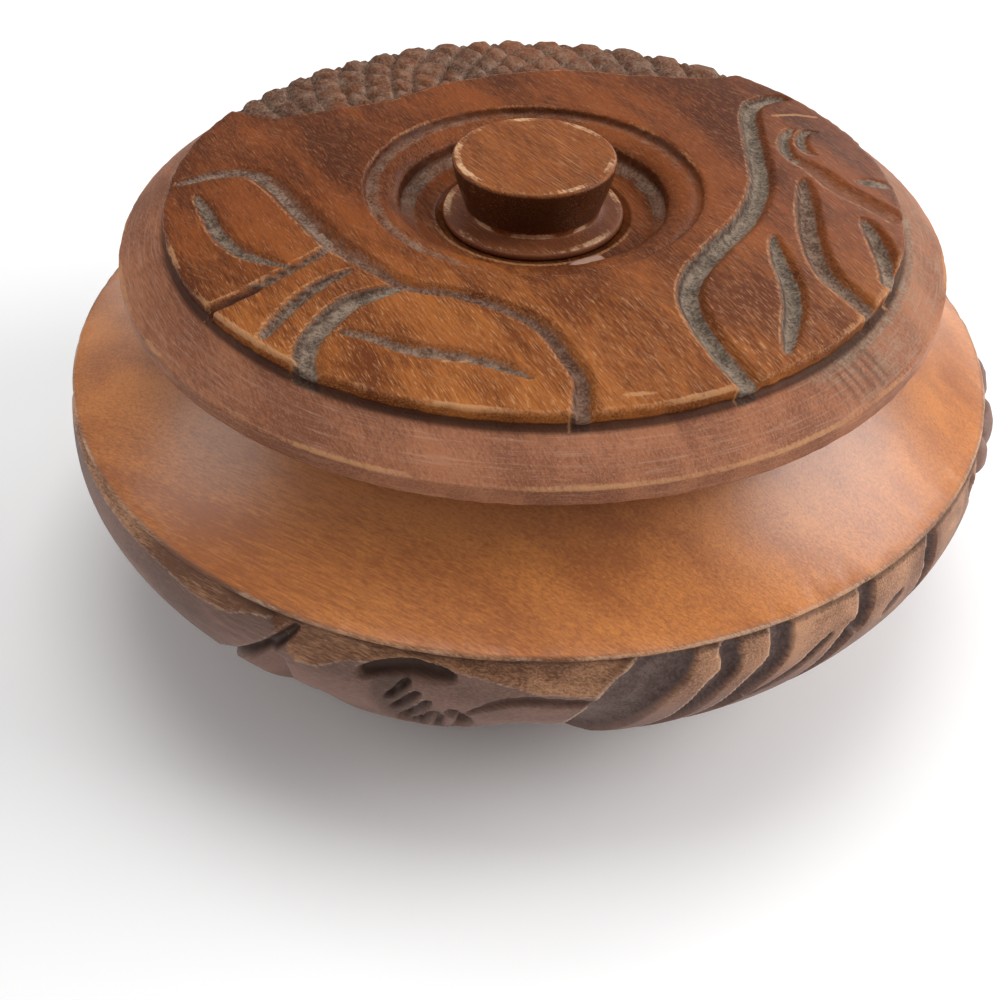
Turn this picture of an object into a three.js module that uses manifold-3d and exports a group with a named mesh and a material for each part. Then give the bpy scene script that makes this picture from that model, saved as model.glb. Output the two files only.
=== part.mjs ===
// Carved trinket box: a round wooden bowl, a lid that lifts off, and a turned knob glued into the lid.
// Millimetres, +Z up. The origin is the middle of the flat foot that the box stands on.
import * as THREE from 'three';
import { mergeVertices } from 'three/addons/utils/BufferGeometryUtils.js';
import Module from 'manifold-3d';

const wasm = await Module();
wasm.setup();

// Bowl, outside
const footRadius = 45;
const bellyRadius = 83.5;
const bellyHeight = 37;
const bellyLeanness = 1.7;
const shoulderDraw = 1.4;
const shoulderHeight = 46;
const shoulderQuirk = 0.7;
const coveDip = 2.8;
const neckRadius = 60;
const rimHeight = 64.85;

// Bowl, inside
const mouthRadius = 52.5;
const lipDepth = 7;
const cavityRadius = 61.5;
const cavityHeight = 37;
const cavityShoulder = 0.6;
const cavityCorner = 0.12;
const floorRadius = 42;
const floorThickness = 9;

// Lid
const seatGap = 0.15;
const spigotClearance = 0.8;
const spigotDepth = 5.5;
const spigotDish = 3;
const spigotChamfer = 0.8;
const flangeRadius = 71;
const flangeEdge = 2.8;
const flangeUnderRound = 0.4;
const flangeRise = 4.4;
const plateauRadius = 62.8;
const plateauStep = 2.7;
const plateauUndercut = 0.4;
const plateauCrown = 1.3;

// Sunk rings round the knob
const ringRadius = 29.2;
const ringWidth = 1.4;
const ringDepth = 1.6;
const recessRadius = 23;
const recessDrop = 4.4;
const moatRadius = 20.6;
const moatDepth = 5.7;
const seatDepth = 0.4;

// Knob
const knobHeight = 11.2;
const knobRadius = 13.9;
const knobEdge = 0.6;
const knobNeckRadius = 10.9;
const knobFlare = 0.6;
const skirtRadius = 15.8;
const skirtEdge = 1.2;
const skirtRise = 0.8;
const tenonRadius = 5.9;
const tenonLength = 5;
const glueGap = 0.1;
const socketSideGap = 0.15;
const skirtSideGap = 1.2;

// Carving of the lid
const vineWidth = 3.2;
const stemWidth = 4.2;
const vineDepth = 1.5;
const leafCutDepth = 1.3;
const kernelZoneDepth = 2.2;
const kernelHeight = 2;
const kernelLength = 7.3;
const kernelWidth = 4.8;
const kernelRows = 3;
const kernelRowPitch = 4.75;
const kernelMargin = 2.4;

// Carving of the belly
const carvingFoot = 8;
const fluteWidth = 4.2;
const fluteDepth = 2.6;
const fluteLean = -15;
const fluteFoot = 0.14;
const notchWidth = 5;
const notchDepth = 3;
const bevelWidth = 5;
const bevelDepth = 2.4;
const veinWidth = 3.8;
const veinDepth = 2;
const hollowDepth = 2.4;
const beadLength = 12;
const beadWidth = 9;
const beadHeight = 2;
const beadRoot = 0.4;
const beadRows = 3;
const beadRowPitch = 10;
const beadPitch = 13.4;
const beadStart = -12;
const beadEnd = 100;
const smallBeadAzimuth = -18.5;
const smallBeadLength = 6;

// How far a cutting tool stands clear above the surface, and its widening there
const strokeClearance = 3;
const strokeFlare = 0.7;

// Fineness of the turned and carved surfaces
const turnSteps = 52;
const knobSteps = 32;
const gougeSteps = 5;

// Places that follow from the sizes above
const shoulderRadius = bellyRadius - shoulderDraw;
const lidBase = rimHeight + seatGap;
const flangeTop = lidBase + flangeEdge;
const stepFoot = flangeTop + flangeRise;
const plateauEdge = stepFoot + plateauStep;
const crownHeight = plateauEdge + plateauCrown;
const recessHeight = crownHeight - recessDrop;
const moatHeight = crownHeight - moatDepth;
const seatHeight = moatHeight - seatDepth;
const spigotRadius = mouthRadius - spigotClearance;
const spigotBottom = lidBase - spigotDepth;
const skirtBottom = seatHeight + glueGap;
const socketBottom = skirtBottom - tenonLength - glueGap;

const degrees = (angle) => angle * Math.PI / 180;
const mix = (a, b, share) => a + (b - a) * share;

// Points of a curve as profile points, without the first one, which the outline already holds.
const along = (curve, steps) => curve.getPoints(steps).slice(1);
const point = (radius, height) => new THREE.Vector2(radius, height);
const bend = (from, control, to, steps) => along(new THREE.QuadraticBezierCurve(from, control, to), steps);

// A turned solid: the outline runs up the outside, as a lathe tool would, and starts and ends on the axis.
function turned(outline, steps) {
  return new THREE.LatheGeometry(outline, steps).rotateX(Math.PI / 2);
}

function toSolid(geometry) {
  const bare = geometry.clone();
  bare.deleteAttribute('normal');
  bare.deleteAttribute('uv');
  const merged = mergeVertices(bare, 1e-4);
  const mesh = new wasm.Mesh({
    numProp: 3,
    vertProperties: new Float32Array(merged.attributes.position.array),
    triVerts: new Uint32Array(merged.index.array),
  });
  mesh.merge();
  return new wasm.Manifold(mesh);
}

function toGeometry(solid) {
  const mesh = solid.getMesh();
  const geometry = new THREE.BufferGeometry();
  geometry.setAttribute('position', new THREE.BufferAttribute(new Float32Array(mesh.vertProperties), 3));
  geometry.setIndex(new THREE.BufferAttribute(new Uint32Array(mesh.triVerts), 1));
  geometry.computeVertexNormals();
  return geometry;
}

// Radius of the belly at a height: from the foot to the widest line it swells like an ellipse, but
// leaner, and above that line it draws in slightly.
function bellyRadiusAt(height) {
  if (height > bellyHeight) {
    const share = (height - bellyHeight) / (shoulderHeight - bellyHeight);
    return mix(bellyRadius, shoulderRadius, share * share);
  }
  const swell = (share) => (1 - share ** bellyLeanness) ** (1 / bellyLeanness);
  const fullDrop = bellyHeight / swell(footRadius / bellyRadius);
  return bellyRadius * swell((bellyHeight - height) / fullDrop);
}

// Height of the lid's carved top: a flat dome between the ring and the edge of the plateau.
function plateauHeightAt(radius) {
  const share = (radius - ringRadius) / (plateauRadius - ringRadius);
  return mix(crownHeight, plateauEdge, Math.max(share, 0) ** 2);
}

// A place on the lid's top: azimuth in degrees, and share of the way from the ring to the plateau's edge.
function onLid(azimuth, share) {
  const radius = mix(ringRadius, plateauRadius, share);
  const angle = degrees(azimuth);
  const place = new THREE.Vector3(Math.cos(angle), Math.sin(angle), 0).multiplyScalar(radius);
  place.z = plateauHeightAt(radius);
  return { place, normal: new THREE.Vector3(0, 0, 1) };
}

// A place on the belly: azimuth in degrees, and share of the way from the carving's foot to the shoulder.
function onBelly(azimuth, share) {
  const height = mix(carvingFoot, shoulderHeight, share);
  const angle = degrees(azimuth);
  const outward = new THREE.Vector3(Math.cos(angle), Math.sin(angle), 0);
  const reach = 0.5;
  const slope = (bellyRadiusAt(height + reach) - bellyRadiusAt(height - reach)) / (2 * reach);
  const normal = new THREE.Vector3(outward.x, outward.y, -slope).normalize();
  const place = outward.clone().multiplyScalar(bellyRadiusAt(height));
  place.z = height;
  return { place, normal };
}

// Joins rings of points into one closed body, with a fan of triangles over each end.
function skin(rings) {
  const sides = rings[0].length;
  const ends = [rings[0], rings[rings.length - 1]].map((ring) => {
    const middle = new THREE.Vector3();
    ring.forEach((corner) => middle.addScaledVector(corner, 1 / sides));
    return middle;
  });
  const corners = [...rings.flat(), ...ends];
  const first = corners.length - 2;
  const last = corners.length - 1;
  const lastRing = (rings.length - 1) * sides;
  const faces = [];
  for (let side = 0; side < sides; side += 1) {
    const next = (side + 1) % sides;
    faces.push(first, side, next, last, lastRing + next, lastRing + side);
    for (let ring = 0; ring < rings.length - 1; ring += 1) {
      const a = ring * sides;
      const b = a + sides;
      faces.push(a + side, b + next, a + next, a + side, b + side, b + next);
    }
  }
  const geometry = new THREE.BufferGeometry().setFromPoints(corners);
  geometry.setIndex(faces);
  return geometry;
}

// The chip that one gouge stroke takes out: U-shaped across, tapering to both ends of its path.
// The path's points are azimuth and share, joined by a smooth curve that keeps to the surface.
// A blunt end keeps more of the width, as where a cut runs out over an edge.
function gouge(surface, path, { width, depth, startTaper = 0.25, endTaper = 0.25, steps = gougeSteps }) {
  const evenScale = 60;
  const knots = path.map(([azimuth, share]) => new THREE.Vector3(azimuth, share * evenScale, 0));
  const line = new THREE.CatmullRomCurve3(knots, false, 'centripetal').getPoints(steps);
  const spots = line.map(({ x, y }) => surface(x, y / evenScale));
  const section = [[-strokeFlare, strokeClearance], [-0.5, 0], [-0.26, -0.9], [0.26, -0.9], [0.5, 0],
    [strokeFlare, strokeClearance]];
  const rings = spots.map(({ place, normal }, step) => {
    const before = spots[Math.max(step - 1, 0)].place;
    const after = spots[Math.min(step + 1, steps)].place;
    const across = new THREE.Vector3().subVectors(after, before).cross(normal).normalize();
    const share = step / steps;
    const fullness = mix(mix(startTaper, endTaper, share), 1, Math.sin(Math.PI * share) ** 0.5);
    return section.map(([side, height]) => place.clone()
      .addScaledVector(across, side * width * fullness)
      .addScaledVector(normal, height > 0 ? height : height * depth * fullness));
  });
  return toSolid(skin(rings));
}

// A low rounded knob of wood left standing, with its length round the box. It may sit below the surface.
function bead(surface, azimuth, share, { length, width, height, sunk = 0 }) {
  const { place, normal } = surface(azimuth, share);
  const around = new THREE.Vector3(-place.y, place.x, 0).normalize();
  const onward = new THREE.Vector3().crossVectors(normal, around);
  const frame = new THREE.Matrix4().makeBasis(around, onward, normal);
  const round = new THREE.SphereGeometry(1, 6, 4).rotateX(Math.PI / 2);
  round.scale(length / 2, width / 2, height);
  round.applyMatrix4(frame);
  const seat = place.addScaledVector(normal, -sunk);
  return toSolid(round.translate(seat.x, seat.y, seat.z));
}

const cutAway = (solid, tools) => tools.reduce((rest, tool) => rest.subtract(tool), solid);
const joinOn = (solid, pieces) => pieces.reduce((whole, piece) => whole.add(piece), solid);

// Bowl

function bowlBlank() {
  const belly = [];
  const bellySteps = 8;
  for (let step = 1; step <= bellySteps; step += 1) {
    const height = bellyHeight * Math.sin(step / bellySteps * Math.PI / 2) ** 1.4;
    belly.push(point(bellyRadiusAt(height), height));
  }
  const shoulder = point(shoulderRadius, shoulderHeight);
  const neck = point(neckRadius, rimHeight);
  const mouth = point(mouthRadius, rimHeight);
  const lip = point(mouthRadius, rimHeight - lipDepth);
  const widest = point(cavityRadius, cavityHeight);
  const floorEdge = point(floorRadius, floorThickness);
  const chordMiddle = shoulder.clone().add(neck).multiplyScalar(0.5);
  const coveMiddle = chordMiddle.addScalar(-coveDip);
  const outline = [
    point(0, 0),
    point(footRadius, 0),
    ...belly,
    point(bellyRadiusAt(shoulderHeight - shoulderQuirk), shoulderHeight - shoulderQuirk),
    shoulder,
    ...bend(shoulder, coveMiddle, neck, 5),
    mouth,
    lip,
    ...bend(lip, point(cavityRadius, mix(cavityHeight, lip.y, cavityShoulder)), widest, 2),
    ...bend(widest, point(cavityRadius, mix(floorThickness, cavityHeight, cavityCorner)), floorEdge, 4),
    point(0, floorThickness),
  ];
  return toSolid(turned(outline, turnSteps));
}

// Leaning flutes on the front right of the belly, read from the wide one to the narrow ones.
const flutes = [
  { top: -71.5, width: 2.3, depth: 1.5, head: 0.97 },
  { top: -65.5, width: 1, depth: 1, head: 0.93 },
  { top: -59.5, width: 1, depth: 1, head: 0.93 },
  { top: -53.5, width: 0.8, depth: 0.8, head: 0.84 },
  { top: -48.5, width: 1, depth: 1, head: 0.95 },
  { top: -37, width: 1, depth: 1, head: 0.95 },
  { top: -24, width: 1, depth: 1, head: 0.95 },
];

function fluteCut(flute) {
  const path = [0, 0.35, 0.7, 1].map((share) => [
    flute.top + fluteLean * share ** 0.8,
    mix(flute.head, fluteFoot, share),
  ]);
  return gouge(onBelly, path, {
    width: fluteWidth * flute.width,
    depth: fluteDepth * flute.depth,
    startTaper: 0.7,
    endTaper: 0.1,
  });
}

// Three overlapping leaves round the front left and the back, each with the azimuth of its tip and its
// length round the belly, in degrees. A deep notch is cut where one ends on the next.
const leaves = [
  { tip: -114, length: 50 },
  { tip: -172, length: 50 },
  { tip: -226, length: 30 },
];

function leafNotch({ tip }) {
  const path = [[tip + 2, 0.98], [tip, 0.8], [tip - 3, 0.5], [tip - 11, 0.12]];
  return gouge(onBelly, path, { width: notchWidth, depth: notchDepth, startTaper: 0.6 });
}

// The bevel along the upper edge of a leaf, from its root under the neighbour to its rounded tip.
function leafEdge({ tip, length }) {
  const shape = [[1, 0.88], [0.7, 0.91], [0.35, 0.91], [0.08, 0.88]];
  const path = shape.map(([along, share]) => [tip - length * along, share]);
  return gouge(onBelly, path, { width: bevelWidth, depth: bevelDepth });
}

// The leaf in front shows more work: a curved upper edge, a midrib, a lower edge, and a fan of short
// strokes in its hollow.
function frontLeaf() {
  const vein = { width: veinWidth, depth: veinDepth };
  const upperEdge = [[-112, 0.86], [-102, 0.97], [-92, 0.95], [-80, 0.86]];
  const midrib = [[-98, 0.5], [-93, 0.72], [-87, 0.78], [-80, 0.72]];
  const lowerEdge = [[-97, 0.62], [-96, 0.45], [-99, 0.22]];
  const lines = [upperEdge, midrib, lowerEdge].map((path) => gouge(onBelly, path, vein));
  const fanHead = -101;
  const fan = [-108, -104, -100].map((azimuth) => gouge(
    onBelly,
    [[(azimuth + fanHead) / 2, 0.9], [azimuth + 0.5, 0.72], [azimuth - 1, 0.5]],
    { width: veinWidth, depth: hollowDepth, steps: 2 },
  ));
  return [...lines, ...fan];
}

// Rows of low knobs, staggered, over the right side and round the back. A small one stands before them.
function bellyBeads() {
  const topShare = 0.87;
  const size = { length: beadLength, width: beadWidth, height: beadHeight + beadRoot, sunk: beadRoot };
  const beads = [bead(onBelly, smallBeadAzimuth, topShare, { ...size, length: smallBeadLength })];
  for (let row = 0; row < beadRows; row += 1) {
    const share = topShare - row * beadRowPitch / (shoulderHeight - carvingFoot);
    const radius = bellyRadiusAt(mix(carvingFoot, shoulderHeight, share));
    const pitch = beadPitch / degrees(radius);
    for (let azimuth = beadStart + (row % 2) * pitch / 2; azimuth < beadEnd; azimuth += pitch) {
      beads.push(bead(onBelly, azimuth, share, size));
    }
  }
  return beads;
}

function makeBowl() {
  const leafCuts = [...leaves.map(leafNotch), ...leaves.map(leafEdge), ...frontLeaf()];
  const carved = cutAway(bowlBlank(), [...flutes.map(fluteCut), ...leafCuts]);
  return toGeometry(joinOn(carved, bellyBeads()));
}

// Lid

function lidBlank() {
  const ringInside = ringRadius - ringWidth;
  const recessEdge = point(recessRadius, recessHeight);
  const seatRadius = skirtRadius + skirtSideGap;
  const socketRadius = tenonRadius + socketSideGap;
  const plateau = [0.94, 0.7, 0.4, 0].map((share) => {
    const radius = mix(ringRadius, plateauRadius, share);
    return point(radius, plateauHeightAt(radius));
  });
  const outline = [
    point(0, spigotBottom + spigotDish),
    ...bend(
      point(0, spigotBottom + spigotDish),
      point(mix(0, spigotRadius, 0.6), spigotBottom + spigotDish),
      point(spigotRadius - spigotDepth, spigotBottom),
      3,
    ),
    point(spigotRadius - spigotChamfer, spigotBottom),
    point(spigotRadius, spigotBottom + spigotChamfer),
    point(spigotRadius, lidBase),
    point(flangeRadius - flangeUnderRound, lidBase),
    point(flangeRadius, lidBase + flangeUnderRound),
    point(flangeRadius, flangeTop),
    ...bend(
      point(flangeRadius, flangeTop),
      point(mix(flangeRadius, plateauRadius, 0.45), mix(flangeTop, stepFoot, 0.6)),
      point(plateauRadius - plateauUndercut, stepFoot),
      2,
    ),
    point(plateauRadius, plateauEdge - plateauStep * 0.3),
    point(plateauRadius, plateauEdge - plateauStep * 0.12),
    ...plateau,
    point(mix(ringRadius, ringInside, 0.3), crownHeight - ringDepth),
    point(ringInside, crownHeight - ringDepth * 0.8),
    ...bend(
      point(ringInside, crownHeight - ringDepth * 0.8),
      point(mix(recessRadius, ringInside, 0.55), crownHeight - ringDepth * 0.6),
      recessEdge,
      4,
    ),
    point(moatRadius, moatHeight),
    point(seatRadius, moatHeight),
    point(seatRadius, seatHeight),
    point(socketRadius, seatHeight),
    point(socketRadius, socketBottom),
    point(0, socketBottom),
  ];
  return toSolid(turned(outline, turnSteps));
}

// The long vine that wanders over the left half, and the leaf strokes on both of its sides.
const vine = [[-178, 0.97], [-183, 0.6], [-171, 0.33], [-158, 0.25], [-140, 0.19], [-118, 0.21],
  [-99, 0.25], [-86, 0.44], [-82, 0.79], [-83, 1.12]];
const leftLeaves = [
  { path: [[-174, 0.87], [-159, 0.74], [-144, 0.54]], width: 3.6 },
  { path: [[-148, 0.25], [-142, 0.72], [-140, 1.16]], width: 2, end: 1 },
  { path: [[-135, 0.27], [-133, 0.6], [-130, 0.95]], width: 2.4 },
  { path: [[-119, 0.25], [-124, 0.4], [-124, 0.65], [-118, 1.12]], width: 4.4, end: 0.9 },
  { path: [[-121, 0.69], [-107, 0.63], [-89, 0.77]], width: 2.8 },
];

// The broad S-shaped stroke on the right, with its three long leaves and the short cuts above them.
const stem = [[37, 0.92], [38, 0.76], [27, 0.46], [4, 0.32], [-19, 0.2], [-45, 0.23], [-57, 0.55],
  [-59, 1.1]];
const rightLeaves = [
  { path: [[-19, 0.39], [-36, 0.64], [-51, 0.93]], width: 3.6 },
  { path: [[6, 0.54], [-12, 0.52], [-26, 0.7], [-33, 1.09]], width: 4.4 },
  { path: [[-6, 0.78], [-15, 0.89], [-25, 1]], width: 4 },
  { path: [[27, 0.7], [22, 0.61], [17, 0.59]], width: 2 },
  { path: [[26, 0.78], [22, 0.73], [18, 0.69]], width: 2 },
  { path: [[17, 0.66], [9, 0.77], [2, 0.9]], width: 5 },
];

function strokes() {
  const leaf = ({ path, width, end = 0.15 }) => gouge(
    onLid,
    path,
    { width, depth: leafCutDepth, startTaper: 0.15, endTaper: end, steps: 4 },
  );
  return [
    gouge(onLid, vine, { width: vineWidth, depth: vineDepth, startTaper: 0.8, endTaper: 1, steps: 13 }),
    gouge(onLid, stem, { width: stemWidth, depth: vineDepth, startTaper: 0.5, endTaper: 1, steps: 10 }),
    ...leftLeaves.map(leaf),
    ...rightLeaves.map(leaf),
  ];
}

// The back of the lid is cut down behind a curved border, and rounded kernels stand in the lowered field.
const border = [[154, 1.1], [153, 0.66], [146, 0.5], [133, 0.36], [117, 0.37], [103, 0.42], [80, 0.52],
  [53, 0.85], [48, 1.1]];

function borderShareAt(azimuth) {
  const at = border.findIndex(([limit]) => limit <= azimuth);
  if (at < 1) return Infinity;
  const [startAzimuth, startShare] = border[at - 1];
  const [endAzimuth, endShare] = border[at];
  return mix(startShare, endShare, (startAzimuth - azimuth) / (startAzimuth - endAzimuth));
}

function kernelField() {
  const floor = plateauEdge - kernelZoneDepth;
  const knots = border.map(([azimuth, share]) => onLid(azimuth, share).place);
  const edge = new THREE.CatmullRomCurve3(knots, false, 'centripetal').getPoints(14);
  const outside = plateauRadius * 1.1;
  const shape = new THREE.Shape(edge.map(({ x, y }) => new THREE.Vector2(x, y)));
  const [lastAzimuth] = border[border.length - 1];
  const [firstAzimuth] = border[0];
  for (let azimuth = lastAzimuth; azimuth <= firstAzimuth; azimuth += 6) {
    shape.lineTo(outside * Math.cos(degrees(azimuth)), outside * Math.sin(degrees(azimuth)));
  }
  const block = new THREE.ExtrudeGeometry(shape, { depth: kernelZoneDepth * 4, bevelEnabled: false });
  return toSolid(block.translate(0, 0, floor));
}

function kernels() {
  const beads = [];
  const plateauWidth = plateauRadius - ringRadius;
  const [lastAzimuth] = border[border.length - 1];
  const [firstAzimuth] = border[0];
  for (let row = 0; row < kernelRows; row += 1) {
    const share = 1 - (kernelMargin + row * kernelRowPitch) / plateauWidth;
    const pitch = kernelLength / degrees(mix(ringRadius, plateauRadius, share));
    const start = lastAzimuth + 2.5 + (row % 2) * pitch / 2;
    for (let azimuth = start; azimuth < firstAzimuth; azimuth += pitch) {
      if (share < borderShareAt(azimuth) + kernelWidth / 3 / plateauWidth) continue;
      beads.push(bead(onLid, azimuth, share, {
        length: kernelLength,
        width: kernelWidth,
        height: kernelHeight,
        sunk: kernelZoneDepth,
      }));
    }
  }
  return beads;
}

function makeLid() {
  const carved = cutAway(lidBlank(), [kernelField(), ...strokes()]);
  return toGeometry(joinOn(carved, kernels()));
}

// Knob

function makeKnob() {
  const skirtTop = skirtBottom + skirtEdge;
  const neckHeight = skirtTop + skirtRise;
  const top = skirtBottom + knobHeight;
  const neck = point(knobNeckRadius, neckHeight);
  const flare = point(mix(knobNeckRadius, knobRadius, knobFlare), (neckHeight + top) / 2);
  const outline = [
    point(0, skirtBottom - tenonLength),
    point(tenonRadius, skirtBottom - tenonLength),
    point(tenonRadius, skirtBottom),
    point(skirtRadius, skirtBottom),
    point(skirtRadius, skirtTop - skirtEdge * 0.35),
    point(skirtRadius - skirtEdge * 0.35, skirtTop),
    ...bend(point(skirtRadius - skirtEdge * 0.35, skirtTop), point(knobNeckRadius, skirtTop), neck, 4),
    ...bend(neck, flare, point(knobRadius, top - knobEdge), 5),
    point(knobRadius - knobEdge * 0.4, top),
    point(0, top),
  ];
  return toGeometry(toSolid(turned(outline, knobSteps)));
}

// Finishes as seen: orange-brown wood on the bowl, redder and duller on the lid, darkest on the knob.
function wood(color, roughness) {
  return new THREE.MeshStandardMaterial({ color, roughness, metalness: 0 });
}

const box = new THREE.Group();
const bowl = new THREE.Mesh(makeBowl(), wood(0x9a5a2c, 0.42));
bowl.name = 'bowl';
box.add(bowl);

const lidGroup = new THREE.Group();
const lid = new THREE.Mesh(makeLid(), wood(0x7d3f22, 0.55));
lid.name = 'lid';
const knob = new THREE.Mesh(makeKnob(), wood(0x84411f, 0.45));
knob.name = 'knob';
lidGroup.add(lid, knob);
box.add(lidGroup);

export default box;
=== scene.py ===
# %% [markdown]
# # A carved wooden trinket box
# The box is three pieces of one red brown hardwood: a wide bowl, a lid that lifts off and a finger
# knob glued into the lid. All three were turned on a lathe first. Then gouges cut leaves and stems
# into the lid, a border of knobs along its back, and leaves, flutes and lumps round the belly.
# The turned form could be a screwed or spun outline, and the carving could be painted as bump alone.
# Here each piece is one closed skin of rings, worked out with numpy, and the carving moves the skin
# itself, so that the cuts cast real shadows and break the outline, as they do on the real box.

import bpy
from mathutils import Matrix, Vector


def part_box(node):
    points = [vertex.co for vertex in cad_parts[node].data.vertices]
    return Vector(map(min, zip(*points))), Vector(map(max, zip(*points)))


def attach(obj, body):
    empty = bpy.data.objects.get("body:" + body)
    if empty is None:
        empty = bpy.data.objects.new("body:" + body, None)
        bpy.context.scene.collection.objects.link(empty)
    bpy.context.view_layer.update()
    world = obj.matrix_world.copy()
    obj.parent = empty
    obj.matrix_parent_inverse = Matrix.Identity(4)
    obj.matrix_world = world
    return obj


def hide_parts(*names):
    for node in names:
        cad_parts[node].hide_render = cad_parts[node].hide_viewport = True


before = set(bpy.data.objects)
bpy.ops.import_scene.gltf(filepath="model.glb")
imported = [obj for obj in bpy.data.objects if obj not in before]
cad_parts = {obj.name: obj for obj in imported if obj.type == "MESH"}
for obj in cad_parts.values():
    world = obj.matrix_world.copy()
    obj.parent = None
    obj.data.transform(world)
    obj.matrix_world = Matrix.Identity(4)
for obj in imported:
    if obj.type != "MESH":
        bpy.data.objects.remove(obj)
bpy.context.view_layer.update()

# %% [markdown]
# ## Units and the camera
# All lengths below are in millimetres, as a turner would measure them, and become metres only when
# a mesh is made. The camera stands in front of the box and looks down at it with a normal lens.
# It could be aimed with a Track To constraint. Three angles are used instead: the way it is headed,
# how far it looks down, and a slight lean, because a hand held camera is never quite level.

# %% Put up the camera
import math

import bpy
import numpy as np
from mathutils import Matrix

METRES = 0.001
camera_spot = (0.0, -216.101, 193.863)
camera_heading = 1.2284
camera_pitch = 41.3835
camera_lean = 1.2259

camera = bpy.data.objects.new("camera", bpy.data.cameras.new("camera"))
camera.data.lens = 50.4
camera.data.sensor_width = 36.0
camera.matrix_world = (
    Matrix.Translation([METRES * c for c in camera_spot])
    @ Matrix.Rotation(math.radians(camera_heading), 4, "Z")
    @ Matrix.Rotation(math.radians(90 - camera_pitch), 4, "X")
    @ Matrix.Rotation(math.radians(camera_lean), 4, "Z")
)
bpy.context.scene.collection.objects.link(camera)
bpy.context.scene.camera = camera
print("camera looks", camera_pitch, "degrees down from", camera_spot)

# %% [markdown]
# ## Rings of points
# A turned piece is an outline carried round the axis. The outline is a list of runs, each a straight
# line or a curve, and each run keeps its name, so that later steps can find the rows of the flange
# or of the cove again. A Screw modifier could spin the outline too, but the carving needs each row
# and column as numbers, and a numpy grid gives both at once.

# %% Outlines and the grid
LID_COLUMNS, KNOB_COLUMNS = 708, 240
LEAF_COLUMNS, LUMP_COLUMNS = 440, 280
LID_ANGLES = np.arange(LID_COLUMNS) * 2 * np.pi / LID_COLUMNS
BOWL_ANGLES = np.radians(np.concatenate([
    np.linspace(-160, -15, LEAF_COLUMNS, False), np.linspace(-15, 200, LUMP_COLUMNS, False)]))
KNOB_ANGLES = np.arange(KNOB_COLUMNS) * 2 * np.pi / KNOB_COLUMNS


def straight(start, end, steps):
    """Points on a line: start + (end - start) * t, for t from just above 0 to 1."""
    t = np.linspace(0, 1, steps + 1)[1:, None]
    start, end = np.asarray(start, float), np.asarray(end, float)
    return start + (end - start) * t


def curved(start, control, end, steps):
    """Points on a curve with one control point: (1-t)^2 start + 2t(1-t) control + t^2 end."""
    t = np.linspace(0, 1, steps + 1)[1:, None]
    start, control, end = (np.asarray(p, float) for p in (start, control, end))
    return (1 - t) ** 2 * start + 2 * t * (1 - t) * control + t ** 2 * end


def join_runs(*runs):
    """Stacks named runs of (radius, height) points and says which rows belong to which name."""
    rows, points, count = {}, [], 0
    for name, run in runs:
        rows[name] = slice(count, count + len(run))
        points.append(run)
        count += len(run)
    return np.concatenate(points), rows


def turned_grid(outline, angle):
    """Carries the outline round the axis: x = r cos a, y = r sin a, z = height, one column an angle."""
    radius, height = outline[:, :1], outline[:, 1:]
    return np.stack([radius * np.cos(angle), radius * np.sin(angle), height + 0 * angle], axis=-1)


def outward(outline, angle):
    """Directions straight out of the turned skin: the outline's direction, turned right by 90 degrees."""
    along = np.gradient(outline, axis=0)
    along /= np.linalg.norm(along, axis=1, keepdims=True)
    side, up = along[:, 1:], -along[:, :1]
    return np.stack([side * np.cos(angle), side * np.sin(angle), up + 0 * angle], axis=-1)


def evenly(points, steps, weight=1.0):
    """Resamples a run into steps of the same length, or shorter ones where weight is more."""
    stretch = np.linalg.norm(np.diff(points, axis=0), axis=1) * weight
    reach = np.concatenate([[0], np.cumsum(stretch)])
    marks = np.linspace(0, reach[-1], steps + 1)[1:]
    return np.stack([np.interp(marks, reach, points[:, k]) for k in (0, 1)], axis=1)


# %% [markdown]
# ## From rows to a mesh
# The rows become four sided faces, and a fan of triangles closes the skin at each end on the axis.
# Where the outline runs from the middle of the underside, out, up and back in, the faces point out
# by themselves. Values such as dust and wear go into the mesh as attributes, one number a point,
# which the materials read, so that dust lies where the cuts are and nowhere else. Such a value is a
# field: one number for each row and column, often worked out for some of the rows only.

# %% Make a closed skin
def closed_skin(name, grid, first_pole, last_pole, values):
    """One mesh from a grid, closed by a point on the axis before the first and after the last row."""
    row_count, columns = grid.shape[:2]
    index = np.arange(row_count * columns).reshape(row_count, columns)
    after = np.roll(index, -1, axis=1)
    squares = np.stack([index[:-1], after[:-1], after[1:], index[1:]], axis=-1).reshape(-1, 4)
    low, high = row_count * columns, row_count * columns + 1
    low_fan = np.stack([np.full(columns, low), after[0], index[0]], axis=-1)
    high_fan = np.stack([np.full(columns, high), index[-1], after[-1]], axis=-1)
    points = np.concatenate([grid.reshape(-1, 3), [[0, 0, first_pole]], [[0, 0, last_pole]]])
    mesh = bpy.data.meshes.new(name)
    faces = squares.tolist() + low_fan.tolist() + high_fan.tolist()
    mesh.from_pydata((points * METRES).tolist(), [], faces)
    mesh.polygons.foreach_set("use_smooth", np.ones(len(faces), bool))
    for key, field in values.items():
        ends = [field[0].mean(), field[-1].mean()]
        attribute = mesh.attributes.new(key, "FLOAT", "POINT")
        attribute.data.foreach_set("value", np.append(field.ravel(), ends).astype(np.float32))
    mesh.update()
    piece = bpy.data.objects.new(name, mesh)
    bpy.context.scene.collection.objects.link(piece)
    print(name, len(points), "points,", len(squares) * 2 + 2 * columns, "triangles")
    return piece


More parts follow.
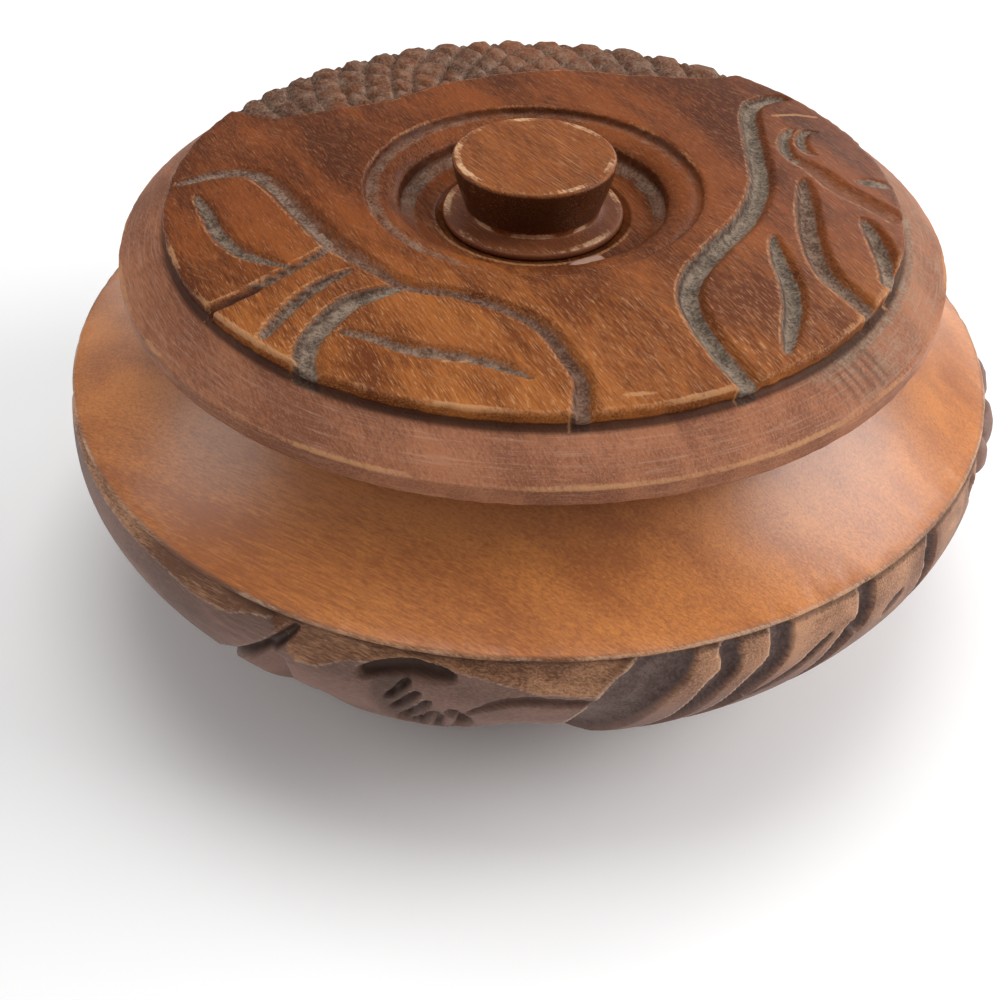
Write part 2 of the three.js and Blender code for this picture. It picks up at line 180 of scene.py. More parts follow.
def smoothed(field, reach):
    """A field averaged over its neighbours: reach times over the rows and columns beside each point."""
    for _ in range(reach):
        padded = np.pad(field, ((1, 1), (0, 0)), mode="edge")
        field = (padded[:-2] + padded[2:] + 2 * field + np.roll(field, 1, 1) + np.roll(field, -1, 1)) / 6
    return field


def ramp(value, low, high):
    """0 below low, 1 above high, and a soft S between them: t * t * (3 - 2t)."""
    t = np.clip((value - low) / (high - low), 0, 1)
    return t * t * (3 - 2 * t)


def filled_in(grid, rows):
    """A function that puts a field of these rows back into a field of the whole grid, 0 elsewhere."""
    def whole(field):
        full = np.zeros(grid.shape[:2])
        full[rows] = field.reshape(full[rows].shape)
        return full
    return whole


def zones_of(grid):
    """A function of two rows of the grid: 1 between them, fading to 0 over soft rows on both sides."""
    rows = np.arange(grid.shape[0])[:, None] + np.zeros(grid.shape[:2])

    def zone(low, high, soft=1.5):
        return ramp(rows, low - soft, low + 0.1) * (1 - ramp(rows, high - 0.1, high + soft))
    return zone


# %% [markdown]
# ## Unevenness
# Hand work is never even: a lip wanders by a few tenths of a millimetre and a gouge chatters.
# A noise texture on a Displace modifier could do it. A sum of sine waves with seeded directions is
# used here, because it is the same each time and can be asked for at any point as a plain number.

# %% Unevenness as a sum of waves
def ripple(points, size, seed, waves=18):
    """Unevenness, mostly -1 to 1: a sum of sines of seeded direction and phase, each about size long."""
    luck = np.random.default_rng(seed)
    headings = luck.normal(size=(waves, points.shape[-1]))
    headings /= np.linalg.norm(headings, axis=1, keepdims=True)
    lengths = size * luck.uniform(0.7, 1.5, waves)
    phases = luck.uniform(0, 2 * np.pi, waves)
    return np.sin(2 * np.pi * (points @ headings.T) / lengths + phases).sum(-1) / math.sqrt(2 * waves)


# %% [markdown]
# ## The stroke of a gouge
# A gouge is a chisel with a hollow edge. Pushed along a line it takes a shaving, and leaves a
# trough with steep sides and a rounded floor, narrow where it enters and leaves the wood.
# A boolean with a swept tool would cut the same trough, but leaves long thin faces at its lips.
# Instead, each point of the skin asks how far it is from the stroke's line, and sinks by the
# depth that the gouge has there.

# %% Depth below a stroke
def smooth_line(knots, steps=6):
    """A smooth curve through all knots: it passes each one along the line between its neighbours."""
    knots = np.asarray(knots, float)
    padded = np.concatenate([2 * knots[:1] - knots[1:2], knots, 2 * knots[-1:] - knots[-2:-1]])
    before, start, end, behind = padded[:-3], padded[1:-2], padded[2:-1], padded[3:]
    t = np.linspace(0, 1, steps, endpoint=False)[:, None, None]
    curve = 0.5 * (
        2 * start
        + (end - before) * t
        + (2 * before - 5 * start + 4 * end - behind) * t ** 2
        + (3 * start - before - 3 * end + behind) * t ** 3
    )
    return np.concatenate([curve.transpose(1, 0, 2).reshape(-1, knots.shape[1]), knots[-1:]])


def nearest_on(line, points):
    """Each point's offset from a line of short straight runs, and how far along the line it is, 0 to 1."""
    start, run = line[:-1], np.diff(line, axis=0)
    length = np.linalg.norm(run, axis=1)
    offset = points[:, None] - start
    t = np.clip((offset * run).sum(-1) / length ** 2, 0, 1)
    away = offset - t[..., None] * run
    best = np.linalg.norm(away, axis=-1).argmin(1)
    row = np.arange(len(points))
    reach = (np.cumsum(length) - length)[best] + t[row, best] * length[best]
    return away[row, best], reach / length.sum()


def gouged(points, knots, width, depth, start=0.3, end=0.3, bluntness=2.6):
    """How deep one stroke cuts: depth * (1 - |distance / half width| ^ bluntness), never below 0.
    Width and depth shrink to their start and end shares towards the stroke's ends. Each point's offset from
    the stroke's line and the half width there come with it, so that dust and wear can follow the line."""
    line = smooth_line(knots)
    cut, half, away = np.zeros(len(points)), np.ones(len(points)), np.full(points.shape, 99.0)
    margin = width / 2 + 2
    near = np.all((points > line.min(0) - margin) & (points < line.max(0) + margin), axis=1)
    if near.any():
        away[near], along = nearest_on(line, points[near])
        ends = start + (end - start) * along
        fullness = ends + (1 - ends) * np.clip(np.sin(np.pi * along), 0, 1) ** 0.5
        wander = 1 + 0.04 * ripple(points[near], 6.0, 11) + 0.015 * ripple(points[near], 2.4, 12)
        half[near] = width / 2 * fullness * wander
        share = np.linalg.norm(away[near], axis=1) / half[near]
        cut[near] = depth * fullness ** 0.7 * np.clip(1 - share ** bluntness, 0, None)
    return cut, away, half


def beside(gap, half, middle=0.35, reach=0.5):
    """A thin band just outside a stroke: 1 at middle mm beyond its lip and 0 at reach mm from there."""
    return np.clip(1 - np.abs(gap - half - middle) / reach, 0, 1)


# %% [markdown]
# ## The lid, as it came off the lathe
# Underneath, a spigot drops into the bowl's mouth. The flange slopes up from a thin edge to a low
# step, and above the step lies the raised plateau with a turned groove, a sunk recess and a moat
# round the knob's seat. The sizes are those of the solid lid, and most rows go to the plateau,
# because the carving there is seen best.

# %% The lid's outline
lid_low, lid_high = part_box("lid")
flange_radius = lid_high.x / METRES
spigot_bottom = lid_low.z / METRES
crown = lid_high.z / METRES
lid_base = spigot_bottom + 5.5
step_foot = crown - 4.0
plateau_edge = crown - 1.3
plateau_radius, ring_radius, ring_inside = 62.8, 29.2, 27.8
recess_radius, moat_radius, seat_radius, socket_radius = 22.9, 20.6, 17.0, 6.05
recess_height, moat_height, seat_height, socket_bottom = crown - 4.4, crown - 5.7, crown - 6.1, crown - 11.1
spigot_radius, dish_height, lip_radius, step_radius = 51.7, spigot_bottom + 3, 62.75, 62.4
rim_top = (70.5, lid_base + 3.0)


def plateau_height(radius):
    """The plateau falls from the crown at the ring to its edge: crown - 1.3 * share squared."""
    share = np.clip((radius - ring_radius) / (plateau_radius - ring_radius), 0, None)
    return crown - 1.3 * share ** 2


plateau_radii = np.linspace(plateau_radius - 0.7, ring_radius + 0.5, 66)
lid_outline, lid_rows = join_runs(
    ("dish", curved((6, dish_height), (31, dish_height), (46.2, spigot_bottom), 4)),
    ("chamfer", np.array([(50.9, spigot_bottom), (spigot_radius, spigot_bottom + 0.8)])),
    ("spigot", straight((spigot_radius, spigot_bottom + 0.8), (spigot_radius, lid_base), 2)),
    ("underside", straight((spigot_radius, lid_base), (70.3, lid_base), 2)),
    ("edge", curved((70.6, lid_base), (flange_radius, lid_base), (flange_radius - 0.02, lid_base + 0.4), 2)),
    ("rim", np.concatenate([
        straight((flange_radius - 0.02, lid_base + 0.4), (flange_radius, lid_base + 2.5), 3),
        curved((flange_radius, lid_base + 2.5), (flange_radius, lid_base + 2.85), rim_top, 3),
    ])),
    ("slope", curved(rim_top, (67.3, lid_base + 5.4), (step_radius, step_foot), 14)),
    ("step", straight((step_radius, step_foot), (lip_radius, plateau_edge - 0.8), 6)),
    ("lip", curved((lip_radius, plateau_edge - 0.8), (lip_radius, plateau_edge), (62.3, plateau_edge), 3)),
    ("plateau", np.stack([plateau_radii, plateau_height(plateau_radii)], axis=1)),
    ("ring", np.concatenate([
        curved((29.7, crown), (29.1, crown), (28.9, crown - 0.9), 4),
        curved((28.9, crown - 0.9), (28.6, crown - 1.7), (ring_inside, crown - 1.25), 3),
    ])),
    ("band", curved((ring_inside, crown - 1.25), (25.6, crown - 0.9), (23.4, crown - 2.3), 5)),
    ("recess", straight((23.4, crown - 2.3), (recess_radius, recess_height), 4)),
    ("slide", curved((recess_radius, recess_height), (21.6, crown - 5.0), (moat_radius, moat_height), 5)),
    ("moat", straight((moat_radius, moat_height), (seat_radius, moat_height), 7)),
    ("seat", np.array([(seat_radius, seat_height), (11, seat_height), (socket_radius, seat_height)])),
    ("socket", np.array([(socket_radius, crown - 8.6), (socket_radius, socket_bottom)])),
)
lid_grid = turned_grid(lid_outline, LID_ANGLES)
print("lid", len(lid_outline), "rows from", lid_outline[:, 1].min(), "to", lid_outline[:, 1].max(), "mm")

# %% [markdown]
# ## The strokes on the lid
# Seen from above, a vine with narrow leaves crosses the left of the lid and a broad stem with
# plump leaves the right. Each stroke is a list of spots in millimetres from the lid's middle,
# x to the right and y to the back, with its width and depth, the shares of them that are left at
# its start and end, how much dust lies in it and how warm that dust looks. A stroke without dust
# gets painted shade inside it, and each stroke gets a thin painted shadow just inside its left edge.
# Where two strokes cross, the deeper one wins, as with two real cuts.

# %% Lay out the strokes
vine_bend = [(-32.2, -21), (-28.9, -24.6)]
vine_top = [(-60.8, -2.3), (-57, -0.1), (-52.9, 1.4), (-47.9, 0.9), (-43.8, -3.5), (-39.9, -9.4),
            (-35.8, -15.6), *vine_bend]
vine_groove = [(-47.0, 1.2), (-42.9, -2.6), (-38.9, -8.6), (-34.8, -14.9), (-31.2, -20.2), (-27.9, -23.8),
               (-23, -28.2)]
vine_foot = [*vine_bend, (-23.9, -29), (-20.3, -31.9), (-16.9, -33.7), (-12, -34.6), (-6, -37), (-1, -40),
             (3, -44), (6, -50), (8, -55), (8, -61), (8, -66)]
vine_leaf = [(-56.6, -6.8), (-54.1, -11.6), (-50.4, -18.9), (-46, -24.3), (-41.6, -26.9), (-38, -28.4)]
twig_end = [(-42.1, -34.2), (-45.8, -37.9), (-50.5, -41.5)]
twig = [(-32, -22.1), (-34.4, -25.8), (-37.3, -28.9), *twig_end]
blade = [(-27.8, -29.2), (-31.3, -32.2), (-34.6, -36.6), (-37.1, -41.6), (-39.1, -46.5)]
branch = [(-19.3, -33.8), (-23.3, -35.4), (-27.3, -38.3), (-30, -42.9), (-31.8, -47.2), (-31.9, -52.1),
          (-30.5, -58)]
long_leaf = [(-27.3, -45.4), (-23.3, -46.2), (-18.9, -48.2), (-15.7, -49.4), (-7, -51), (1, -55)]
stem = [(47.1, 38.3), (43.9, 36.8), (40.9, 33.5), (39.8, 27.3), (39.7, 17.1), (39.6, 6.4), (38.5, -1.3),
        (35.5, -9.8), (30.7, -18), (26.5, -25.7), (24.7, -31.9), (25.1, -37.5), (27.5, -45.2), (30.6, -51.5),
        (34, -57)]
leaf_one = [(39.4, -14.5), (39.8, -21.4), (40.7, -28.3), (40.6, -34.1), (39.4, -40.5), (38.2, -46.2)]
leaf_two = [(47, 4.8), (46.3, -3.9), (45.8, -12.1), (46.2, -20.6), (47.6, -26.5), (49.9, -30.1),
            (52.7, -34.4)]
leaf_three = [(55.4, -7.2), (56.5, -11.6), (57.1, -16.9), (57.3, -21), (57.1, -25.6)]
lid_strokes = [
    (vine_top, 4.4, 1.1, 0.25, 0.7, 0.75, 0.45),
    (vine_groove, 1.9, 1.6, 0.3, 0.5, 0.5, 0.8),
    (vine_foot, 3.2, 1.5, 0.7, 1.0, 0.72, 0.7),
    (vine_leaf, 3.2, 1.2, 0.3, 0.2, 0.9, 0.25),
    (twig, 2.2, 1.4, 0.7, 1.0, 0.65, 0.3),
    ([(-40.5, -32.4), *twig_end], 2.3, 1.9, 0.5, 1.0, 0, 1),
    (blade, 2.6, 1.3, 0.15, 0.6, 0.8, 0.4),
    (branch, 4.2, 1.3, 0.3, 1.0, 0.95, 0.2),
    (long_leaf, 3.4, 1.2, 0.4, 0.15, 0.75, 0.5),
    (stem, 4.3, 1.5, 0.6, 1.0, 0.9, 0.1),
    (leaf_one, 3.9, 1.4, 0.12, 0.25, 0.95, 0.1),
    (leaf_two, 4.4, 1.4, 0.25, 1.0, 0.75, 0.5),
    (leaf_three, 4.1, 1.4, 0.15, 1.0, 0.75, 0.3),
    ([(47.1, 24.7), (45.4, 20), (45.1, 15.1), (46.4, 11.2), (47.7, 9.4)], 2.4, 0.9, 0.2, 0.2, 0.95, 0.2),
    ([(51.3, 24), (49.2, 22.9), (48.2, 19.1), (48.9, 15.7), (50.3, 14.5)], 2.2, 0.9, 0.2, 0.2, 0.95, 0.2),
    ([(46.5, 12.6), (50, 7.8), (53.5, 2), (57.2, -1.6), (61, -6)], 4.4, 0.7, 0.3, 0.9, 0.35, 0.8),
    ([(56.6, 5.7), (59, 5.5), (61.4, 4.7)], 3.0, 0.35, 0.3, 0.6, 0.9, 0.1),
]
carved_rows = slice(lid_rows["slope"].stop - 2, lid_rows["plateau"].stop)
plan = lid_grid[carved_rows, :, :2].reshape(-1, 2)
stroke_depth, stroke_dust, stroke_warm, stroke_lip, stroke_shade = np.zeros((5, len(plan)))
for knots, width, depth, start, end, dusty_share, warmth in lid_strokes:
    cut, away, half = gouged(plan, knots, width, depth, start, end)
    gap = np.linalg.norm(away, axis=1)
    right = away[:, 0] / np.maximum(gap, 1e-6)
    share = gap / half
    dusted = dusty_share * (1 - ramp(share * (1 + 0.25 * right), 0.6, 0.95))
    # Painted shade: shaded is a thin dark line just inside a stroke's left edge, bare is the dark inside of a
    # stroke without dust
    shaded = ramp(share, 0.5, 0.75) * (1 - ramp(share, 0.8, 1)) * ramp(-right, 0, 0.6)
    bare = (dusty_share == 0) * (1 - ramp(share, 0.6, 1))
    deeper = cut > stroke_depth
    stroke_depth[deeper] = cut[deeper]
    stroke_dust[deeper] = dusted[deeper]
    stroke_shade[deeper] = np.maximum(shaded, bare)[deeper]
    stroke_warm[deeper] = warmth
    stroke_lip = np.maximum(stroke_lip, beside(gap, half) * ramp(-right, 0.1, 0.7))
stroke_lip *= 1 - ramp(stroke_depth, 0.1, 0.5)
stroke_depth *= 1 + 0.1 * ripple(plan, 2.6, 21) + 0.06 * ripple(plan, 1.6, 22)
print(len(lid_strokes), "strokes, deepest", round(stroke_depth.max(), 2), "mm")

# %% [markdown]
# ## The border of knobs behind
# Along the back of the lid the plateau was cut down behind a wavy line, and the sunk part was
# scored criss cross, so that rows of rounded knobs stand in it, like seeds on a cob. They could be
# hundreds of small spheres. Two families of slanting valleys make them in the same skin instead,
# where a knob is the product of two sines, and the real places of the knobs set the valleys.

# %% Sink the border and raise its knobs
border = [(-56, 26), (-54, 22), (-46, 23), (-38, 26), (-28, 30), (-19, 37), (-10, 42), (-1, 45), (8, 46),
          (19, 45), (28, 45), (35, 46), (41, 49)]
knob_azimuths = [43.5, 50.0, 57.2, 65.5, 72.8, 80.5, 88.3, 95.5, 101.5, 107.3, 114.1, 121.1, 126.7, 133.2,
                 139.2, 145.7, 150.7, 156.5]
border_sink, knob_rise = 2.1, 1.75
border_line = smooth_line(border)
border_reach = np.hypot(border_line[:, 0], border_line[:, 1])
border_angle = np.degrees(np.arctan2(border_line[:, 1], border_line[:, 0]))


def behind_border(plan):
    """How far each point lies behind the border's line, in mm: its radius less the line's."""
    angle = np.degrees(np.arctan2(plan[:, 1], plan[:, 0]))
    line = np.interp(angle, border_angle[::-1], border_reach[::-1], left=90, right=90)
    return np.hypot(plan[:, 0], plan[:, 1]) - line


def knob_field(plan, row_pitch=4.9):
    """Knob height from 0 to 1: |sin(pi u) sin(pi v)| ^ 0.38, where u and v count the valleys."""
    angle = np.degrees(np.arctan2(plan[:, 1], plan[:, 0]))
    across = np.interp(angle, knob_azimuths, np.arange(len(knob_azimuths)) + 0.5)
    inward = (plateau_radius - 1.7 - np.hypot(plan[:, 0], plan[:, 1])) / (2 * row_pitch)
    across = across + 0.08 * ripple(plan, 9, 31)
    return np.abs(np.sin(np.pi * (across + inward)) * np.sin(np.pi * (across - inward))) ** 0.38


behind_line = behind_border(plan) + 0.35 * ripple(plan, 6, 32)
sunk = ramp(behind_line, -0.2, 1.1)
knobs = knob_field(plan)
border_depth = sunk * (border_sink - knob_rise * np.clip(knobs * 1.25, 0, 1) + 0.12 * ripple(plan, 2.2, 33))
on_lid = filled_in(lid_grid, carved_rows)
lid_cut = on_lid(np.maximum(stroke_depth, border_depth))
sunk_field = on_lid(sunk)
border_edge = on_lid(np.clip(1 - np.abs(behind_line + 0.35) / 0.6, 0, 1))
print("sunk behind the border", int((sunk > 0.5).sum()), "points")

# %% [markdown]
# ## Wear on the lid's edges
# Handling rounds and chips an edge, most of all the thin lip of the plateau and the rim of the
# flange. The wandering below is a share of the radius, a few tenths of a millimetre, enough to catch
# the light unevenly.
# The cut rows of the step sink in proportion, so a stroke that leaves over the edge opens the step.

# %% Carve the lid and wear its edges
lip_wander, rim_wander, ring_wander = 0.0028, 0.0012, 0.004
step_share = np.clip((lid_grid[..., 2] - step_foot) / (plateau_edge - step_foot), 0, 1)
lid_grid[..., 2] -= lid_cut * step_share
lip_rows = slice(lid_rows["step"].start, lid_rows["plateau"].start + 2)
lip_walk = ripple(lid_grid[lip_rows], 7, 41) + 0.8 * ripple(lid_grid[lip_rows], 2.5, 42)
lid_grid[lip_rows, :, :2] *= 1 - lip_wander * np.clip(lip_walk + 0.5, 0, None)[..., None]
rim_rows = slice(lid_rows["edge"].start, lid_rows["rim"].stop)
rim_walk = ripple(lid_grid[rim_rows], 9, 43) + 0.7 * ripple(lid_grid[rim_rows], 3, 44)
lid_grid[rim_rows, :, :2] *= 1 - rim_wander * np.clip(rim_walk + 0.6, 0, None)[..., None]
ring_rows = slice(lid_rows["ring"].start, lid_rows["slide"].stop)
ring_ripple = ripple(lid_grid[ring_rows], 3.2, 45) + 0.6 * ripple(lid_grid[ring_rows], 1.5, 46)
lid_grid[ring_rows, :, :2] *= 1 + ring_wander * ring_ripple[..., None]
print("lip wanders by up to", round(lip_wander * plateau_radius * lip_walk.max(), 2), "mm")

# %% [markdown]
# ## A drop of old glue
# When the knob was glued in, a little glue came out of the joint at the front right and dried on
# the moat's floor. It is a low drop with a tail. A separate mesh would have to lie on the floor
# without a gap, so the drop is a swelling of the lid's own skin, with its own attribute for colour.

# %% Raise the glue
moat_rows = slice(lid_rows["recess"].start, lid_rows["moat"].stop)
glue_rise = 0.45
glue_knots = [(11.0, -15.0), (8.6, -16.4), (7.3, -17.6), (7.9, -19.6)]
glue_away, _ = nearest_on(smooth_line(glue_knots), lid_grid[moat_rows, :, :2].reshape(-1, 2))
glue = np.zeros(lid_grid.shape[:2])
glue[moat_rows] = (1 - ramp(np.linalg.norm(glue_away, axis=1), 0.6, 1.5)).reshape(glue[moat_rows].shape)
lid_grid[..., 2] += glue_rise * glue
print("glue covers", int((glue > 0.5).sum()), "points")

# %% [markdown]
# ## Where dust lies, edges are pale and light and shade are painted
# Grey polish and dust have settled in each cut, groove and corner, and stayed there. Where an edge
# stands proud, the dark finish has been rubbed off and pale wood shows. On the strokes both follow
# the distance from the stroke's line, so that a pale lip stays thin and even. Elsewhere they are
# read off the skin: a point that lies lower than its surroundings is a hollow.
# Painted shade darkens the corner under the plateau's lip, the cuts, the valleys between the knobs
# of the border and the back walls of the ring and the recess, mixed with dark tool marks on the
# flange. Painted light makes the front and right of the plateau lighter and more golden.

# %% Dust, wear, painted shade, painted light and zones of the lid
lid_zone = zones_of(lid_grid)
lid_angle = np.arctan2(lid_grid[..., 1], lid_grid[..., 0])
lid_degrees = np.degrees(lid_angle)


def nicked(lines, plan, reach=0.8):
    """Thin marks: 1 on each line of spots, 0 at reach mm from it."""
    marks = np.zeros(len(plan))
    for spots in lines:
        away, _ = nearest_on(np.asarray(spots, float), plan)
        marks = np.maximum(marks, 1 - ramp(np.linalg.norm(away, axis=1), 0.15, reach))
    return marks


nicks = on_lid(nicked([[(44.4, 29.6), (48.5, 30.7), (52.5, 30.4)], [(55.2, -28.5), (56.0, -29.2)],
                       [(-12, -52), (-9, -50.5)], [(14, -58), (18, -57.4)]], plan))
lip_edge = lid_zone(lid_rows["lip"].start, lid_rows["lip"].stop, 1.2)
rim_edge = lid_zone(lid_rows["rim"].stop - 3, lid_rows["rim"].stop - 1, 1.2)
ring_lip = lid_zone(lid_rows["ring"].start, lid_rows["ring"].start + 1, 2)
band_lip = lid_zone(lid_rows["band"].stop - 1, lid_rows["recess"].start, 1)
seat_lip = lid_zone(lid_rows["moat"].stop - 2, lid_rows["moat"].stop - 1, 0.8)
front = 1 - ramp(np.sin(lid_angle), -0.5, 0.1)
behind = ramp(np.sin(lid_angle), -0.3, 0.4)
left = ramp(-np.cos(lid_angle), 0, 0.6)
patchy = np.clip(0.6 + 0.5 * ripple(lid_grid, 14, 51), 0, 1)
lid_wear = np.maximum.reduce([
    0.8 * on_lid(stroke_lip), nicks, 0.7 * border_edge,
    patchy * np.maximum.reduce([lip_edge * (0.4 + 0.6 * front) * (1 - ramp(lid_cut, 0.3, 1.2)),
                                0.9 * rim_edge, 0.6 * ring_lip, 0.5 * band_lip]),
    0.7 * seat_lip * front,
])
# step_corner, ring_wall and recess_wall carry painted shade: at the foot of the step under the plateau's lip,
# and on the back walls of the ring and the recess
step_corner = lid_zone(lid_rows["slope"].stop - 2, lid_rows["step"].start + 1, 1)
ring_wall = lid_zone(lid_rows["ring"].start + 2, lid_rows["ring"].start + 4, 1)
recess_wall = lid_zone(lid_rows["recess"].start, lid_rows["recess"].stop - 1, 1)
ring_floor = lid_zone(lid_rows["ring"].start + 4, lid_rows["band"].start, 1)
recess_floor = lid_zone(lid_rows["recess"].stop - 1, lid_rows["slide"].stop - 2, 1)
foot_film = lid_zone(lid_rows["slope"].stop - 4, lid_rows["slope"].stop - 1, 1.5)
slope_film = 0.55 * lid_zone(lid_rows["slope"].start, lid_rows["slope"].stop, 1)
foot_film = np.maximum(foot_film, slope_film)
foot_film *= ramp(lid_degrees, -60, -40) * (1 - ramp(lid_degrees, 40, 70))
lid_dust = np.maximum.reduce([
    on_lid(stroke_dust), sunk_field * (0.42 + 0.16 * ramp(lid_cut, 0.3, 1.5)),
    ring_floor * (0.1 + 0.36 * np.maximum(left, 0.6 * behind)),
    0.48 * recess_floor * (1 - 0.8 * front), 0.55 * foot_film])
lid_warm = np.maximum.reduce([on_lid(stroke_warm), 0.35 * sunk_field, 0.4 * ring_floor, 0.3 * recess_floor])
lid_dull = lid_zone(lid_rows["spigot"].start, lid_rows["slope"].stop, 1)
# Painted light: the front and right of the plateau get a lighter, more golden wood, where the light falls on
# them
lid_painted_light = ramp(-lid_grid[..., 1], 8, 50) * (0.4 + 0.6 * ramp(lid_grid[..., 0], -58, -36))
lid_painted_light *= (1 - lid_dull) * np.clip(0.85 + 0.3 * ripple(lid_grid, 22, 52), 0, 1)
teeth = lid_zone(lid_rows["slope"].start + 2, lid_rows["slope"].start + 9, 2)
teeth *= ramp(lid_degrees, -48, -46) * (1 - ramp(lid_degrees, -38, -36))
teeth *= ramp(np.sin(lid_degrees * 3.6), 0.1, 0.8)
# Painted shade, with dark tool marks on the flange: under the lip, in the strokes, between the border's knobs
# and on the back walls of the ring and recess
lid_shade_and_marks = np.maximum.reduce([
    (0.5 + 0.5 * front) * step_corner, on_lid(stroke_shade), 0.55 * teeth,
    0.6 * sunk_field * ramp(lid_cut - smoothed(lid_cut, 4), 0.1, 0.6),
    0.7 * ring_wall * behind, 0.7 * recess_wall * behind])
print("dusty", round(float((lid_dust > 0.4).mean()), 3), "worn", round(float((lid_wear > 0.4).mean()), 3))

# %% Skin of the lid
lid = closed_skin(
    "lid_wood_skin", lid_grid, dish_height, socket_bottom,
    {"dust": lid_dust, "warm": lid_warm, "wear": lid_wear, "dull": lid_dull, "painted_light": lid_painted_light,
     "shade_and_marks": lid_shade_and_marks, "glue": glue},
)
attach(lid, "lid_body")
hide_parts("lid")

# %% [markdown]
# ## The bowl, as it came off the lathe
# The belly is widest well above the middle and runs down to a flat foot. Above it the shoulder is
# turned as a cove, a hollow curve, which was sanded smooth and polished, and ends at the rim that
# the lid rests over. The inside is hollowed with a lip for the lid's spigot.

# %% The bowl's outline
rim_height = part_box("bowl")[1].z / METRES
mouth_radius, mouth_foot, cavity_radius, cavity_widest, floor_height = 52.5, rim_height - 7, 61.5, 37.0, 9.0
bead_radius, cove_foot = 82.35, (81.6, 46.19)
belly_radius, belly_height, foot_radius = 83.5, 37.0, 45.0
shoulder_radius, shoulder_height, quirk = 82.1, 46.0, 0.7
carving_foot = 8.0


def belly_radius_at(height):
    """Radius of the belly: below its widest height belly_radius * (1 - drop ^ 1.7) ^ (1 / 1.7), a little
    leaner than an ellipse, and a gentle square law above it. The drop is 0 there and largest at the foot."""
    leanness = 1.7
    half = belly_height / (1 - (foot_radius / belly_radius) ** leanness) ** (1 / leanness)
    drop = np.clip((belly_height - height) / half, 0, 1)
    below = belly_radius * (1 - drop ** leanness) ** (1 / leanness)
    share = np.clip((height - belly_height) / (shoulder_height - belly_height), 0, None)
    above = belly_radius + (shoulder_radius - belly_radius) * share ** 2
    return np.where(height < belly_height, below, above)


fine_heights = np.linspace(carving_foot, shoulder_height - quirk, 500)
fine_run = np.stack([belly_radius_at(fine_heights), fine_heights], axis=1)
carved_run = evenly(fine_run, 90, 1 + 2.0 * ramp(fine_heights[1:], 24, 29))
low_heights = np.linspace(0, carving_foot, 60)
low_run = evenly(np.stack([belly_radius_at(low_heights), low_heights], axis=1), 5)
bowl_outline, bowl_rows = join_runs(
    ("foot", np.array([(14.0, 0.0), (44.2, 0.0), (foot_radius, 0.25)])),
    ("low", low_run),
    ("belly", carved_run),
    ("bead", np.array([(82.2, 45.35), (bead_radius, 45.5), (bead_radius, 45.75), (82.1, 46.0), cove_foot])),
    ("cove", curved(cove_foot, (68.1, 52.7), (60.0, rim_height - 0.3), 17)),
    ("rim", np.array([(59.6, rim_height), (56.0, rim_height), (53.2, rim_height),
                      (mouth_radius, rim_height - 0.6)])),
    ("mouth", straight((mouth_radius, rim_height - 0.6), (mouth_radius, mouth_foot), 2)),
    ("inside", np.concatenate([
        curved((mouth_radius, mouth_foot), (cavity_radius, 50.0), (cavity_radius, cavity_widest), 4),
        curved((cavity_radius, cavity_widest), (cavity_radius, 12.4), (42.0, floor_height), 6),
        np.array([(20.0, floor_height)]),
    ])),
)
bowl_grid = turned_grid(bowl_outline, BOWL_ANGLES)
bowl_out = outward(bowl_outline, BOWL_ANGLES)
print("bowl", len(bowl_outline), "rows, widest", round(bowl_outline[:, 0].max(), 1), "mm from the axis")

# %% [markdown]
# ## The carving round the belly
# Under the cove the carver left a flat rough band and cut everything below it: big leaves that
# sweep round the left, a leaf with a hatched hollow at the front, slanting flutes to its right,
# and then rows of round lumps. Here a spot is given by its azimuth, in degrees round the axis, and
# its height, and each stroke runs over the belly's own surface. A flute has a flat slate grey
# floor. A crevice has none, so its profile is rounder, and painted shade makes it darker. After the
# spots of a stroke come its width, depth, share at the start, bluntness, how slate grey it is, and
# how much painted shade darkens it.

# %% Strokes on the belly
def on_belly(spots):
    """Turns (azimuth in degrees, height) into points on the uncut belly."""
    azimuth, height = np.radians([s[0] for s in spots]), np.array([s[1] for s in spots], float)
    radius = belly_radius_at(height)
    return np.stack([radius * np.cos(azimuth), radius * np.sin(azimuth), height], axis=1)


